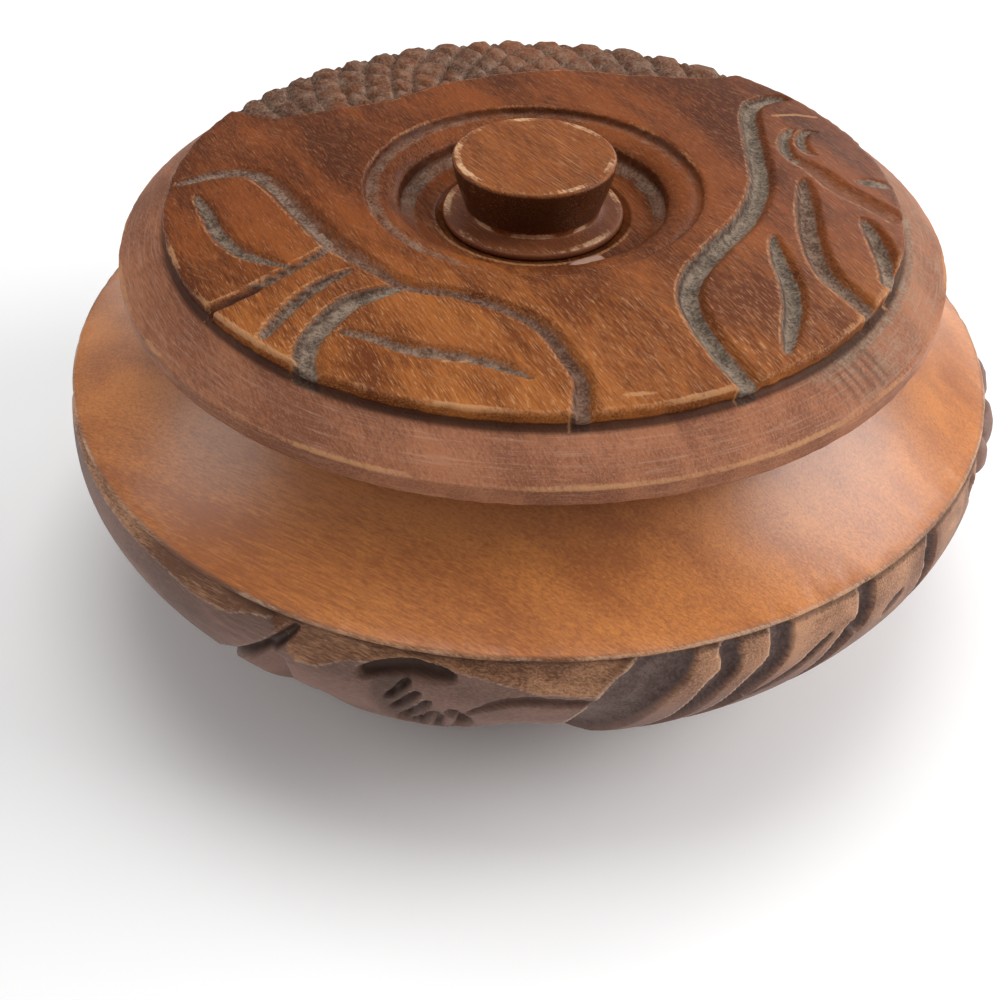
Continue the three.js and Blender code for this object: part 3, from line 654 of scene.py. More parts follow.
crevice = [(-113.5, 43.5), (-114.8, 41), (-117, 37.5), (-120, 33.5), (-124, 29), (-130, 20), (-135, 13)]
belly_strokes = [
    ([(-74.6, 44), (-75.4, 42), (-77.7, 38), (-81.3, 30), (-84.5, 21), (-86.5, 13)], 10.5, 2.2, 0.8, 8, 1, 0),
    ([(-68, 43.8), (-67.9, 40), (-69.5, 37), (-71, 33), (-72.6, 28.5), (-78, 20), (-80.5, 13)],
     3.9, 1.7, 0.85, 7, 1, 0),
    ([(-62, 44.3), (-61.8, 41.5), (-62.5, 38.5), (-64.8, 35), (-67, 29.5), (-73, 20), (-74.5, 13)],
     4.4, 1.8, 0.85, 7, 1, 0),
    ([(-55.3, 39), (-56.9, 37.5), (-59.4, 34.5), (-62.5, 31.9), (-64.3, 30.4)], 2.0, 1.3, 0.4, 3, 1, 0),
    ([(-50.4, 44.6), (-50.2, 41), (-51, 38), (-53, 36.3), (-60, 22), (-63.5, 13)], 4.0, 1.8, 0.85, 7, 1, 0),
    ([(-43.6, 38.4), (-45.9, 36.8), (-46.7, 35.8)], 1.8, 0.9, 0.4, 3, 1, 0),
    ([(-38.2, 43.4), (-38.6, 36), (-44, 24), (-50, 13)], 4.2, 1.9, 0.8, 7, 1, 0),
    ([(-25.6, 42.4), (-23.5, 36.7), (-28, 26), (-35, 13)], 4.2, 1.9, 0.8, 7, 1, 0),
    ([(-102.6, 41), (-103.2, 36), (-102, 30), (-101, 25)], 7.5, 1.0, 0.7, 3, 0, 0.6),
    ([(-105.4, 39.6), (-103.4, 40.9), (-100.5, 42), (-96.6, 41.5)], 4.0, 2.4, 0.7, 3, 0, 1),
    ([(-76, 44.1), (-79, 42), (-80.5, 39.5)], 1.7, 1.4, 0.5, 2, 0, 1),
    ([(-96.4, 33.6), (-95.4, 31.6), (-95.6, 28), (-97.5, 20)], 2.8, 2.6, 0.8, 2, 0, 0.8),
    ([(-94.6, 34.2), (-91.8, 36.9), (-89, 37.8), (-85, 37.4), (-81.5, 37.2)], 2.1, 1.0, 0.5, 4, 0, 0.6),
    ([(-98.9, 24), (-97.6, 32.3)], 1.8, 1.7, 0.6, 1.6, 0, 0.85),
]
hatching = [[(-103.4, 33.7), (-100.9, 39.5)], [(-103.1, 30), (-100, 37.4)], [(-102.5, 26), (-98.9, 35.8)],
            [(-101.6, 23), (-98.3, 33)]]
belly_strokes += [(spots, 2.3, 2.7, 0.9, 1.5, 0, 1) for spots in hatching]
belly_strokes += [([(a - turn, h) for a, h in crevice], 3.2, 2.6, 0.6, 2.2, 0, 1) for turn in (0, 60, 112)]
belly_rows = bowl_rows["belly"]
belly_points = bowl_grid[belly_rows].reshape(-1, 3)
belly_azimuth = np.degrees(np.arctan2(belly_points[:, 1], belly_points[:, 0]))
belly_height_at = belly_points[:, 2]
heading = np.radians(belly_azimuth)
east = np.stack([-np.sin(heading), np.cos(heading), 0 * heading], axis=1)
belly_cut, belly_slate, belly_shade, belly_lip = np.zeros((4, len(belly_points)))
for spots, width, depth, start, bluntness, slate, dark in belly_strokes:
    turned = np.array(spots, float)
    turned[:, 0] = (turned[:, 0] + 180) % 360 - 180
    end = 0.25 + 0.35 * dark
    cut, away, half = gouged(belly_points, on_belly(turned), width, depth, start, end, bluntness)
    gap = np.linalg.norm(away, axis=1)
    left_side = -(away * east).sum(1) / np.maximum(gap, 1e-6)
    deeper = cut > belly_cut
    belly_cut[deeper] = cut[deeper]
    belly_slate[deeper] = (slate * (1 - ramp(gap / half, 0.86, 1.02)))[deeper]
    # Painted shade inside the dark cuts, fading towards their edges
    belly_shade[deeper] = (dark * (1 - ramp(gap / half, 0.55, 1.0)))[deeper]
    lip = beside(gap, half, 0.25, 0.5) * ramp(left_side, 0.2, 0.8) * max(slate, 0.6 * dark)
    belly_lip = np.maximum(belly_lip, lip)
belly_lip *= 1 - ramp(belly_cut, 0.1, 0.5)
belly_cut *= 1 + 0.06 * ripple(belly_points, 3.2, 61) + 0.04 * ripple(belly_points, 1.6, 62)
print(len(belly_strokes), "cuts on the belly, deepest", round(belly_cut.max(), 2), "mm")

# %% [markdown]
# ## The rough band over the leaves
# Above the leaves the belly was pared back with a flat chisel, right up to the cove's thin rim. The
# leaves' upper edge, the ridge, rises and falls with each leaf. It is kept as a height for every
# azimuth, and the band sinks evenly from the ridge to its deepest just under the rim. Low down,
# the ends of the leaves were cut back further, so that the next leaf stands out as a step.

# %% Pare the band back
ridge = [(-254, 44.6), (-245, 43.2), (-237, 40.8), (-233, 41.2), (-229.8, 43.3), (-227, 44), (-226.8, 41.6),
         (-224.2, 38.2), (-221, 40), (-216, 42.2), (-203, 43.2), (-192, 42), (-185, 40.8), (-181, 41.2),
         (-177.8, 43.3), (-175.2, 44), (-175, 41.6), (-172.4, 38.2), (-170, 39.5), (-166, 41.8),
         (-158, 43.2), (-141, 42.4), (-133, 42), (-126, 40.8), (-122, 41.2), (-118.8, 43.3), (-116, 44),
         (-115.6, 41.6), (-113.2, 37.7), (-110.8, 38.2),
         (-107.9, 40.9), (-105.2, 41.9), (-103.5, 42.3), (-101.5, 43.4), (-98.9, 43.7), (-96, 42.6),
         (-93.2, 41.9), (-89.7, 40.4), (-87.2, 39.2), (-81.3, 38.5), (-80.3, 41), (-79, 44), (-72, 44.6),
         (-60, 44.3), (-22, 44.6), (106, 45)]
unrolled = np.where(belly_azimuth > 106, belly_azimuth - 360, belly_azimuth)
ridge_height = np.interp(unrolled, [s[0] for s in ridge], [s[1] for s in ridge])
over_ridge = belly_height_at - ridge_height + 0.12 * ripple(belly_points, 4, 64)
band_top = shoulder_height - quirk
band_deepest = np.where(unrolled < -79, 1.25, 0.6)
band_depth = band_deepest * np.clip(over_ridge / (band_top - ridge_height), 0, 1) ** 0.8
band = ramp(over_ridge, -0.1, 0.3)
band_depth += band * (0.1 * ripple(belly_points, 2.6, 65) + 0.06 * ripple(belly_points, 1.4, 66))
belly_cut = np.where(belly_cut > band_depth, belly_cut, band_depth)
ridge_line = np.clip(1 - np.abs(over_ridge) / 0.55, 0, 1) * (unrolled < -78)


def dip_at(azimuth, reach):
    """A soft dip across the belly: exp(-((place - azimuth) / reach) ^ 2), in degrees round the axis."""
    return np.exp(-((unrolled - azimuth) / reach) ** 2)


low_down = ramp(33 - belly_height_at, 0, 7)
belly_cut += 0.3 * dip_at(-90, 10) + low_down * (1.6 * dip_at(-89, 6) + 0.9 * dip_at(-113, 3))
leaf_end = ramp(unrolled, -120.5, -115.8) * (1 - ramp(unrolled, -115.3, -114.3))
belly_cut += 2.8 * ramp(38 - belly_height_at, 0, 4) * leaf_end
print("band covers", round(float(band.mean()), 3), "of the belly")

# %% [markdown]
# ## Lumps on the right
# From the right round to the back the belly carries three staggered rows of lumps. A lump is half
# an egg lying along the row, and the wood between the lumps is cut back a little.

# %% Raise the lumps
lump_length, lump_width = 12.0, 9.0
lump_start, lump_end, small_lump = -12.0, 100.0, -18.5
lump_sink, lump_rise = 0.9, 2.4


def egg(along, across, length, width):
    """Half an egg, 0 to 1: the square root of 1 - (along / half)^2 - (across / half)^2."""
    return np.sqrt(np.clip(1 - (2 * along / length) ** 2 - (2 * across / width) ** 2, 0, 1))


def lump_field(points, azimuth):
    """Height of the nearest lump, 0 to 1, in three rows whose lumps are set off by half a pitch."""
    rise = np.zeros(len(points))
    for row, height in enumerate((41.0, 31.0, 21.0)):
        radius = float(belly_radius_at(np.array(height)))
        pitch = math.degrees(13.4 / radius)
        first = lump_start + (row % 2) * pitch / 2
        count = int((lump_end - first) / pitch) + 1
        place = np.clip(np.round((azimuth - first) / pitch), 0, count - 1)
        along = np.radians(azimuth - first - place * pitch) * radius
        rise = np.maximum(rise, egg(along, (points[:, 2] - height) * 1.05, lump_length, lump_width))
    along = np.radians(azimuth - small_lump) * belly_radius
    return np.maximum(rise, 0.8 * egg(along, points[:, 2] - 41.0, 6.0, 7.5))


lump_zone = ramp(belly_azimuth, -23, -20) * (1 - ramp(belly_azimuth, 106, 109))
lump_zone *= ramp(belly_height_at, 13, 16) * (1 - ramp(belly_height_at, 44.2, 45.2))
lumps = lump_field(belly_points, belly_azimuth)
belly_cut += lump_zone * (lump_sink - lump_rise * lumps + 0.12 * ripple(belly_points, 2.5, 63))
on_bowl = filled_in(bowl_grid, belly_rows)
bowl_cut = on_bowl(belly_cut)
print("lumps rise to", round(-belly_cut.min(), 2), "mm above the belly")

# %% [markdown]
# ## Dents, dust, wear and painted shade of the bowl
# The cut wood is dull, dark and dusty, the turned cove is bright. The cove's rim is a thin bead
# with a few nicks, and a row of small punch marks, painted as dark dots, sits under it on the right.
# Painted shade darkens the dark cuts, a line under the bead, the top of the cove under the lid and
# the hollows between the lumps. All of them follow from the same fields as on the lid.

# %% Carve the bowl and note its dust, wear and painted shade
rim_band = slice(bowl_rows["bead"].start, bowl_rows["cove"].start + 1)
band_walk = ripple(bowl_grid[rim_band], 6, 71) + 0.6 * ripple(bowl_grid[rim_band], 2.2, 72)
bowl_cut[rim_band] += 0.08 * np.clip(band_walk + 0.3, 0, None)
bowl_grid = bowl_grid - bowl_out * bowl_cut[..., None]
lump_rows = on_bowl(lump_zone)
punched = ramp(np.sin(heading * 170), 0.5, 0.95) * ramp(belly_height_at, 44.0, 44.3)
punched *= 1 - ramp(belly_height_at, 44.8, 45.1)
punched *= ramp(belly_azimuth, -63, -60) * (1 - ramp(belly_azimuth, -26, -23))
bowl_zone = zones_of(bowl_grid)
# Painted shadow: a dark line on the top rows of the belly, under the cove's bead
shadow_under_bead = bowl_zone(bowl_rows["belly"].stop - 3, bowl_rows["belly"].stop, 2)
bead_edge = bowl_zone(bowl_rows["bead"].start + 2, bowl_rows["bead"].start + 3, 0.8)
bowl_patchy = np.clip(0.55 + 0.6 * ripple(bowl_grid, 12, 73), 0, 1)
bowl_wear = np.clip(np.maximum.reduce([
    on_bowl(belly_lip), 0.7 * on_bowl(ridge_line), 0.8 * bowl_patchy * bead_edge,
    lump_rows * ramp(smoothed(bowl_cut, 5) - bowl_cut, 0.08, 0.55)]), 0, 1)
# Painted shade over the top of the cove, under the lid
shade_under_lid = ramp(bowl_grid[..., 2], 51, 60) * (bowl_grid[..., 2] < rim_height - 0.1)
# Painted shade in the dark cuts, under the bead, under the lid and between the lumps, with the punch marks as
# dark dots
bowl_shade_and_marks = np.clip(np.maximum.reduce([
    on_bowl(belly_shade), 0.75 * shadow_under_bead, 0.35 * shade_under_lid, 0.8 * on_bowl(punched),
    lump_rows * ramp(bowl_cut - smoothed(bowl_cut, 4), 0.15, 0.9)]), 0, 1)
bowl_gloss = bowl_zone(bowl_rows["bead"].stop - 1, bowl_rows["rim"].stop, 1.2)
between_flutes = 0.85 * ramp(unrolled, -82, -79) * (1 - belly_slate) * (1 - lump_zone)
between_flutes *= ramp(belly_height_at, 30, 44)
bowl_band = np.maximum(on_bowl(np.maximum(band, between_flutes)),
                       bowl_zone(bowl_rows["bead"].start, bowl_rows["bead"].stop - 2, 1))
bowl = closed_skin(
    "bowl_wood_skin", bowl_grid, 0.0, floor_height,
    {"dust": on_bowl(belly_slate), "wear": bowl_wear, "gloss": bowl_gloss, "shade_and_marks": bowl_shade_and_marks,
     "band": bowl_band},
)
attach(bowl, "bowl_body")
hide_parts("bowl")

# %% [markdown]
# ## The knob
# The knob is a small turned button: a thin skirt that sits in the lid's moat, a short waist, and a
# head that flares out to a flat top with a rubbed edge. Its tenon goes down into the lid.

# %% The knob's skin
knob_low, knob_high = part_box("knob")
knob_top = knob_high.z / METRES
tenon_bottom = knob_low.z / METRES
skirt_bottom = tenon_bottom + 5.0
tenon_radius, skirt_top, neck_foot = 5.9, (15.2, skirt_bottom + 1.2), (11.6, skirt_bottom + 1.9)
head_radius, head_foot = 14.0, (13.75, knob_top - 2.4)
knob_outline, knob_rows = join_runs(
    ("tenon", np.array([(5.6, tenon_bottom), (tenon_radius, tenon_bottom + 0.3),
                        (tenon_radius, skirt_bottom)])),
    ("seat", straight((tenon_radius, skirt_bottom), (15.6, skirt_bottom), 3)),
    ("skirt", curved((15.6, skirt_bottom), (15.95, skirt_bottom + 1.1), skirt_top, 5)),
    ("flat", curved(skirt_top, (11.4, skirt_bottom + 1.2), neck_foot, 10)),
    ("waist", curved(neck_foot, (13.1, skirt_bottom + 6.2), head_foot, 14)),
    ("head", np.concatenate([
        straight(head_foot, (head_radius, knob_top - 0.7), 3),
        curved((head_radius, knob_top - 0.7), (head_radius, knob_top), (13.3, knob_top), 4),
    ])),
    ("top", straight((13.3, knob_top), (1.5, knob_top), 20)),
)
knob_grid = turned_grid(knob_outline, KNOB_ANGLES)
head_rows = slice(knob_rows["waist"].start + 8, knob_rows["top"].start + 3)
head_walk = ripple(knob_grid[head_rows], 5, 81) + 0.8 * ripple(knob_grid[head_rows], 1.6, 82)
knob_grid[head_rows, :, :2] *= 1 - 0.008 * np.clip(head_walk, 0, None)[..., None]
top_dip = 0.1 * np.clip(ripple(knob_grid[..., :2], 8, 83) + 0.3, 0, None)
last_head_row = knob_rows["head"].stop - 1
knob_grid[last_head_row:, :, 2] -= top_dip[last_head_row:]
knob_zone = zones_of(knob_grid)
knob_edge = knob_zone(knob_rows["head"].stop - 2, knob_rows["top"].start, 0.9)
# Painted highlight: a pale line in the hollow at the foot of the neck
waist_foot_highlight = knob_zone(knob_rows["flat"].stop - 2, knob_rows["flat"].stop, 1)
skirt_edge = knob_zone(knob_rows["skirt"].stop - 2, knob_rows["skirt"].stop, 1)
knob_patchy = np.clip(0.5 + 0.55 * ripple(knob_grid, 9, 84), 0, 1)
foot_patchy = np.clip(0.5 + 0.6 * ripple(knob_grid, 5, 85), 0, 1)
knob_wear_and_highlight = np.clip(knob_patchy * (knob_edge + 0.8 * skirt_edge) + waist_foot_highlight * foot_patchy, 0, 1)
# Painted shade on the waist and the lower side of the head, under its flare
knob_waist_shade = knob_zone(knob_rows["waist"].start + 1, knob_rows["head"].start + 2, 1.5)
knob_skirt = knob_zone(knob_rows["seat"].start, knob_rows["flat"].stop - 3, 2)
knob = closed_skin("knob_wood_skin", knob_grid, tenon_bottom, knob_top - 0.03,
                   {"wear": knob_wear_and_highlight, "side": knob_waist_shade, "skirt": knob_skirt})
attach(knob, "lid_body")
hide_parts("knob")

# %% [markdown]
# ## Wood, as a group of nodes
# The same timber shows on all three pieces. Its figure is long soft streaks along the grain, and
# its pores are short pale dashes, because dust and polish fill them. Both could come from a photo
# of wood, but noise that is squeezed across the grain looks the same from any side and never ends.
# The group takes a position in millimetres, with the grain along x, and gives a colour and masks.

# %% Helpers for node groups
def new_group(name, inputs, outputs):
    """A shader node group with sockets from (name, type, value) rows, and its two end nodes."""
    group = bpy.data.node_groups.new(name, "ShaderNodeTree")
    for label, kind, value in inputs:
        socket = group.interface.new_socket(name=label, in_out="INPUT", socket_type=kind)
        if value is not None:
            socket.default_value = (*value, 1) if kind == "NodeSocketColor" else value
    for label, kind in outputs:
        group.interface.new_socket(name=label, in_out="OUTPUT", socket_type=kind)
    return group, group.nodes.new("NodeGroupInput"), group.nodes.new("NodeGroupOutput")


def joined(tree, socket, value):
    """Feeds a socket from another socket, or sets it to a plain value: a colour is red, green, blue."""
    if isinstance(value, bpy.types.NodeSocket):
        tree.links.new(value, socket)
    else:
        socket.default_value = (*value, 1) if socket.type == "RGBA" else value


def maths(tree, kind, first, second=0.0, clamp=False):
    """One Math node: kind of first and second."""
    node = tree.nodes.new("ShaderNodeMath")
    node.operation, node.use_clamp = kind, clamp
    joined(tree, node.inputs[0], first)
    joined(tree, node.inputs[1], second)
    return node.outputs[0]


def times(tree, first, second):
    """first * second."""
    return maths(tree, "MULTIPLY", first, second)


def plus(tree, base, mask, share, clamp=False):
    """base + mask * share."""
    return maths(tree, "ADD", base, times(tree, mask, share), clamp)


def vector_maths(tree, kind, first, second=None):
    """One Vector Math node: kind of first and, where there is one, second."""
    node = tree.nodes.new("ShaderNodeVectorMath")
    node.operation = kind
    joined(tree, node.inputs[0], first)
    if second is not None:
        joined(tree, node.inputs[1], second)
    return node


def span(tree, value, low, high, to_low=0.0, to_high=1.0):
    """A Map Range node: low to high becomes to_low to to_high, and no further."""
    node = tree.nodes.new("ShaderNodeMapRange")
    for place, number in zip(range(5), (value, low, high, to_low, to_high)):
        joined(tree, node.inputs[place], number)
    return node.outputs[0]


def blended(tree, share, first, second):
    """A Mix Color node from first to second by share."""
    node = tree.nodes.new("ShaderNodeMix")
    node.data_type = "RGBA"
    joined(tree, node.inputs[0], share)
    joined(tree, node.inputs[6], first)
    joined(tree, node.inputs[7], second)
    return node.outputs[2]


def noise(tree, place, sizes, detail=2.0, roughness=0.5, warp=0.0):
    """A noise texture, between 0 and 1, whose features have these lengths in the three directions."""
    node = tree.nodes.new("ShaderNodeTexNoise")
    settings = {"Scale": 1.0, "Detail": detail, "Roughness": roughness, "Distortion": warp,
                "Vector": vector_maths(tree, "DIVIDE", place, sizes).outputs[0]}
    for label, value in settings.items():
        joined(tree, node.inputs[label], value)
    return node.outputs["Fac"]


# %% The timber group
timber, timber_in, timber_out = new_group(
    "timber",
    [("Position", "NodeSocketVector", None), ("Light", "NodeSocketColor", (0.4, 0.16, 0.06)),
     ("Dark", "NodeSocketColor", (0.14, 0.04, 0.015)), ("Pore", "NodeSocketColor", (0.5, 0.3, 0.18)),
     ("Pore share", "NodeSocketFloat", 0.5), ("Blotch", "NodeSocketFloat", 0.5)],
    [("Color", "NodeSocketColor"), ("Pores", "NodeSocketFloat"), ("Figure", "NodeSocketFloat")],
)
place = timber_in.outputs["Position"]
streaks = noise(timber, place, (3.6, 0.32, 0.32), 4.0, 0.65, 0.2)
bands = noise(timber, place, (70.0, 7.0, 7.0), 2.0, 0.5, 0.6)
blotches = noise(timber, place, (26.0, 17.0, 17.0), 3.0, 0.55)
dashes = noise(timber, place, (1.9, 0.2, 0.2), 2.0, 0.6)
figure = plus(timber, times(timber, streaks, 0.62), bands, 0.38)
figure = plus(timber, figure, maths(timber, "SUBTRACT", blotches, 0.5), timber_in.outputs["Blotch"])
tone = span(timber, figure, 0.38, 0.62)
pore_mask = times(timber, span(timber, dashes, 0.56, 0.72), timber_in.outputs["Pore share"])
wood_color = blended(timber, tone, timber_in.outputs["Dark"], timber_in.outputs["Light"])
wood_color = blended(timber, pore_mask, wood_color, timber_in.outputs["Pore"])
timber.links.new(wood_color, timber_out.inputs["Color"])
timber.links.new(pore_mask, timber_out.inputs["Pores"])
timber.links.new(tone, timber_out.inputs["Figure"])
print("timber group has", len(timber.nodes), "nodes")

# %% [markdown]
# ## Dust, rubbed edges and scratches, as groups
# Dust isn't one grey: it is crumbly, pale in places and gone in others. A rubbed edge is broken by
# the grain. Scratches are thin, straight and all over. Each group takes the mask that the skin
# carries, or none, and breaks it up with noise, so the three materials share one kind of ageing.

# %% The dust group
dusty, dusty_in, dusty_out = new_group(
    "settled_dust",
    [("Position", "NodeSocketVector", None), ("Amount", "NodeSocketFloat", 0.0),
     ("Pale", "NodeSocketColor", (0.3, 0.235, 0.165)), ("Deep", "NodeSocketColor", (0.1, 0.068, 0.045))],
    [("Color", "NodeSocketColor"), ("Mask", "NodeSocketFloat"), ("Grit", "NodeSocketFloat")],
)
place = dusty_in.outputs["Position"]
crumbs = noise(dusty, place, (0.55, 0.55, 0.55), 3.0, 0.7)
drifts = noise(dusty, place, (3.4, 3.4, 3.4), 3.0, 0.6)
dust_tone = plus(dusty, times(dusty, crumbs, 0.6), drifts, 0.4)
dust_share = span(dusty, dust_tone, 0.42, 0.58)
dust_color = blended(dusty, dust_share, dusty_in.outputs["Deep"], dusty_in.outputs["Pale"])
broken = plus(dusty, dusty_in.outputs["Amount"], maths(dusty, "SUBTRACT", dust_tone, 0.5), 1.1)
dusty.links.new(dust_color, dusty_out.inputs["Color"])
dusty.links.new(span(dusty, broken, 0.2, 0.75), dusty_out.inputs["Mask"])
dusty.links.new(crumbs, dusty_out.inputs["Grit"])

# %% The worn edge group
worn, worn_in, worn_out = new_group(
    "rubbed_edge",
    [("Position", "NodeSocketVector", None), ("Amount", "NodeSocketFloat", 0.0)],
    [("Mask", "NodeSocketFloat")],
)
flakes = noise(worn, worn_in.outputs["Position"], (1.3, 0.5, 0.5), 4.0, 0.65)
worn_sum = plus(worn, worn_in.outputs["Amount"], maths(worn, "SUBTRACT", flakes, 0.5), 1.5)
worn.links.new(span(worn, worn_sum, 0.4, 0.85), worn_out.inputs["Mask"])

# %% The scratch group
scratched, scratched_in, scratched_out = new_group(
    "scratches",
    [("Position", "NodeSocketVector", None), ("Share", "NodeSocketFloat", 0.5)],
    [("Mask", "NodeSocketFloat")],
)
place = scratched_in.outputs["Position"]
lines = noise(scratched, place, (9.0, 0.16, 0.16), 1.0, 0.5, 0.1)
patches = noise(scratched, place, (14.0, 9.0, 9.0), 1.0)
scratch_mask = times(scratched, span(scratched, lines, 0.62, 0.72), span(scratched, patches, 0.4, 0.6))
scratch_mask = times(scratched, scratch_mask, scratched_in.outputs["Share"])
scratched.links.new(scratch_mask, scratched_out.inputs["Mask"])

# %% [markdown]
# ## Turning marks, as a group
# A lathe leaves fine rings that run round the axis. Bands from a wave texture would be too even, so
# noise is read at a place made of the distance from the axis, cut fine, and a slow turn round it.

# %% The turning mark group
turning, turning_in, turning_out = new_group(
    "turning_marks",
    [("Position", "NodeSocketVector", None), ("Width", "NodeSocketFloat", 0.25)],
    [("Mask", "NodeSocketFloat")],
)
turns = 7.0
place = turning_in.outputs["Position"]
flat = vector_maths(turning, "MULTIPLY", place, (1, 1, 0)).outputs[0]
reach = vector_maths(turning, "LENGTH", flat).outputs["Value"]
spin = vector_maths(turning, "NORMALIZE", flat).outputs[0]
spin = vector_maths(turning, "MULTIPLY", spin, (turns, turns, turns)).outputs[0]
rise = turning.nodes.new("ShaderNodeSeparateXYZ")
turning.links.new(place, rise.inputs[0])
lane = turning.nodes.new("ShaderNodeCombineXYZ")
slant = plus(turning, reach, rise.outputs[2], 0.6)
turning.links.new(maths(turning, "DIVIDE", slant, turning_in.outputs["Width"]), lane.inputs[2])
round_place = vector_maths(turning, "ADD", spin, lane.outputs[0]).outputs[0]
turning.links.new(noise(turning, round_place, (1, 1, 1), 3.0, 0.6), turning_out.inputs["Mask"])
print("groups", [g.name for g in bpy.data.node_groups])

# %% [markdown]
# ## The three wood materials
# Each material centres the grain on its piece with a Mapping node, adds its own tints, and sends
# colour, roughness and bump to one Principled shader. The lid's grain runs from the back left to
# the front right, as its pores show, and the bowl's runs nearly across.

# %% Helpers for the materials
def new_material(name):
    """An empty material with a Principled shader and an output. Gives the node tree and the shader."""
    material = bpy.data.materials.new(name)
    material.use_nodes = True
    tree = material.node_tree
    tree.nodes.clear()
    shader = tree.nodes.new("ShaderNodeBsdfPrincipled")
    output = tree.nodes.new("ShaderNodeOutputMaterial")
    tree.links.new(shader.outputs[0], output.inputs[0])
    return material, tree, shader


def in_millimetres(tree, turn):
    """The piece's own position in millimetres, turned so that x runs along the grain."""
    coordinate = tree.nodes.new("ShaderNodeTexCoord")
    mapping = tree.nodes.new("ShaderNodeMapping")
    mapping.inputs["Scale"].default_value = (1 / METRES,) * 3
    mapping.inputs["Rotation"].default_value = (0, 0, math.radians(turn))
    tree.links.new(coordinate.outputs["Object"], mapping.inputs["Vector"])
    return mapping.outputs[0]


def placed(tree, group, **values):
    """A group node with its inputs set or linked by name, underscores for spaces."""
    node = tree.nodes.new("ShaderNodeGroup")
    node.node_tree = group
    for label, value in values.items():
        joined(tree, node.inputs[label.replace("_", " ")], value)
    return node


def carried(tree, name):
    """The number that the skin carries under this name."""
    node = tree.nodes.new("ShaderNodeAttribute")
    node.attribute_name = name
    return node.outputs["Fac"]


def tinted(tree, color, mask, share, tint):
    """The colour, turned towards the tint by mask * share."""
    return blended(tree, times(tree, mask, share), color, tint)


def finished(tree, shader, color, rough, height, distance):
    """Feeds colour and roughness to the shader, and a Bump from a height in units of distance (mm)."""
    tree.links.new(color, shader.inputs["Base Color"])
    tree.links.new(rough, shader.inputs["Roughness"])
    node = tree.nodes.new("ShaderNodeBump")
    node.inputs["Strength"].default_value = 1.0
    node.inputs["Distance"].default_value = distance * METRES
    joined(tree, node.inputs["Height"], height)
    tree.links.new(node.outputs[0], shader.inputs["Normal"])


# %% Lid material
lid_material, tree, shader = new_material("lid_carved_wood")
shader.inputs["Specular IOR Level"].default_value = 0.09
position = in_millimetres(tree, 62)
wood = placed(tree, timber, Position=position, Light=(0.215, 0.055, 0.012), Dark=(0.075, 0.018, 0.005),
              Pore=(0.36, 0.15, 0.065), Pore_share=0.6, Blotch=0.6)
# A lighter, more golden wood, used as painted light on the front and right of the plateau
painted_light = placed(tree, timber, Position=position, Light=(0.38, 0.125, 0.027), Dark=(0.14, 0.035, 0.008),
                Pore=(0.6, 0.33, 0.15), Pore_share=0.65, Blotch=0.6)
dull = carried(tree, "dull")
dull_wood = placed(tree, timber, Position=position, Light=(0.38, 0.15, 0.075), Dark=(0.2, 0.073, 0.038),
                   Pore=(0.46, 0.28, 0.2), Pore_share=0.4, Blotch=0.6)
warm = carried(tree, "warm")
dust = placed(tree, dusty, Position=position, Amount=carried(tree, "dust"),
              Pale=blended(tree, warm, (0.29, 0.228, 0.17), (0.25, 0.12, 0.078)),
              Deep=blended(tree, warm, (0.105, 0.08, 0.06), (0.07, 0.027, 0.016)))
edge = placed(tree, worn, Position=position, Amount=carried(tree, "wear"))
scratch = placed(tree, scratched, Position=in_millimetres(tree, 30), Share=0.25)
rings = placed(tree, turning, Position=position, Width=0.22)
# Painted light: the lighter, more golden wood over the front and right of the plateau
color = blended(tree, carried(tree, "painted_light"), wood.outputs["Color"], painted_light.outputs["Color"])
color = blended(tree, dull, color, dull_wood.outputs["Color"])
ring_mask = span(tree, rings.outputs["Mask"], 0.52, 0.7)
color = tinted(tree, color, ring_mask, times(tree, dull, 0.35), (0.5, 0.3, 0.2))
color = blended(tree, scratch.outputs["Mask"], color, (0.5, 0.28, 0.17))
color = blended(tree, dust.outputs["Mask"], color, dust.outputs["Color"])
# Painted shade from the skin's mask, with the dark tool marks on the flange
color = tinted(tree, color, carried(tree, "shade_and_marks"), 0.8, (0.04, 0.014, 0.008))
color = tinted(tree, color, edge.outputs["Mask"], 0.6, (0.52, 0.27, 0.125))
color = tinted(tree, color, carried(tree, "glue"), 0.8, (0.42, 0.26, 0.2))
rough = span(tree, dull, 0, 1, 0.38, 0.5)
rough = plus(tree, rough, dust.outputs["Mask"], 0.4)
rough = plus(tree, rough, edge.outputs["Mask"], 0.12, True)
height = times(tree, wood.outputs["Pores"], -0.35)
height = plus(tree, height, wood.outputs["Figure"], 0.2)
height = plus(tree, height, scratch.outputs["Mask"], -0.5)
height = plus(tree, height, rings.outputs["Mask"], times(tree, dull, 0.5))
height = plus(tree, height, dust.outputs["Grit"], times(tree, dust.outputs["Mask"], 2.0))
finished(tree, shader, color, rough, height, 0.09)
lid.data.materials.append(lid_material)

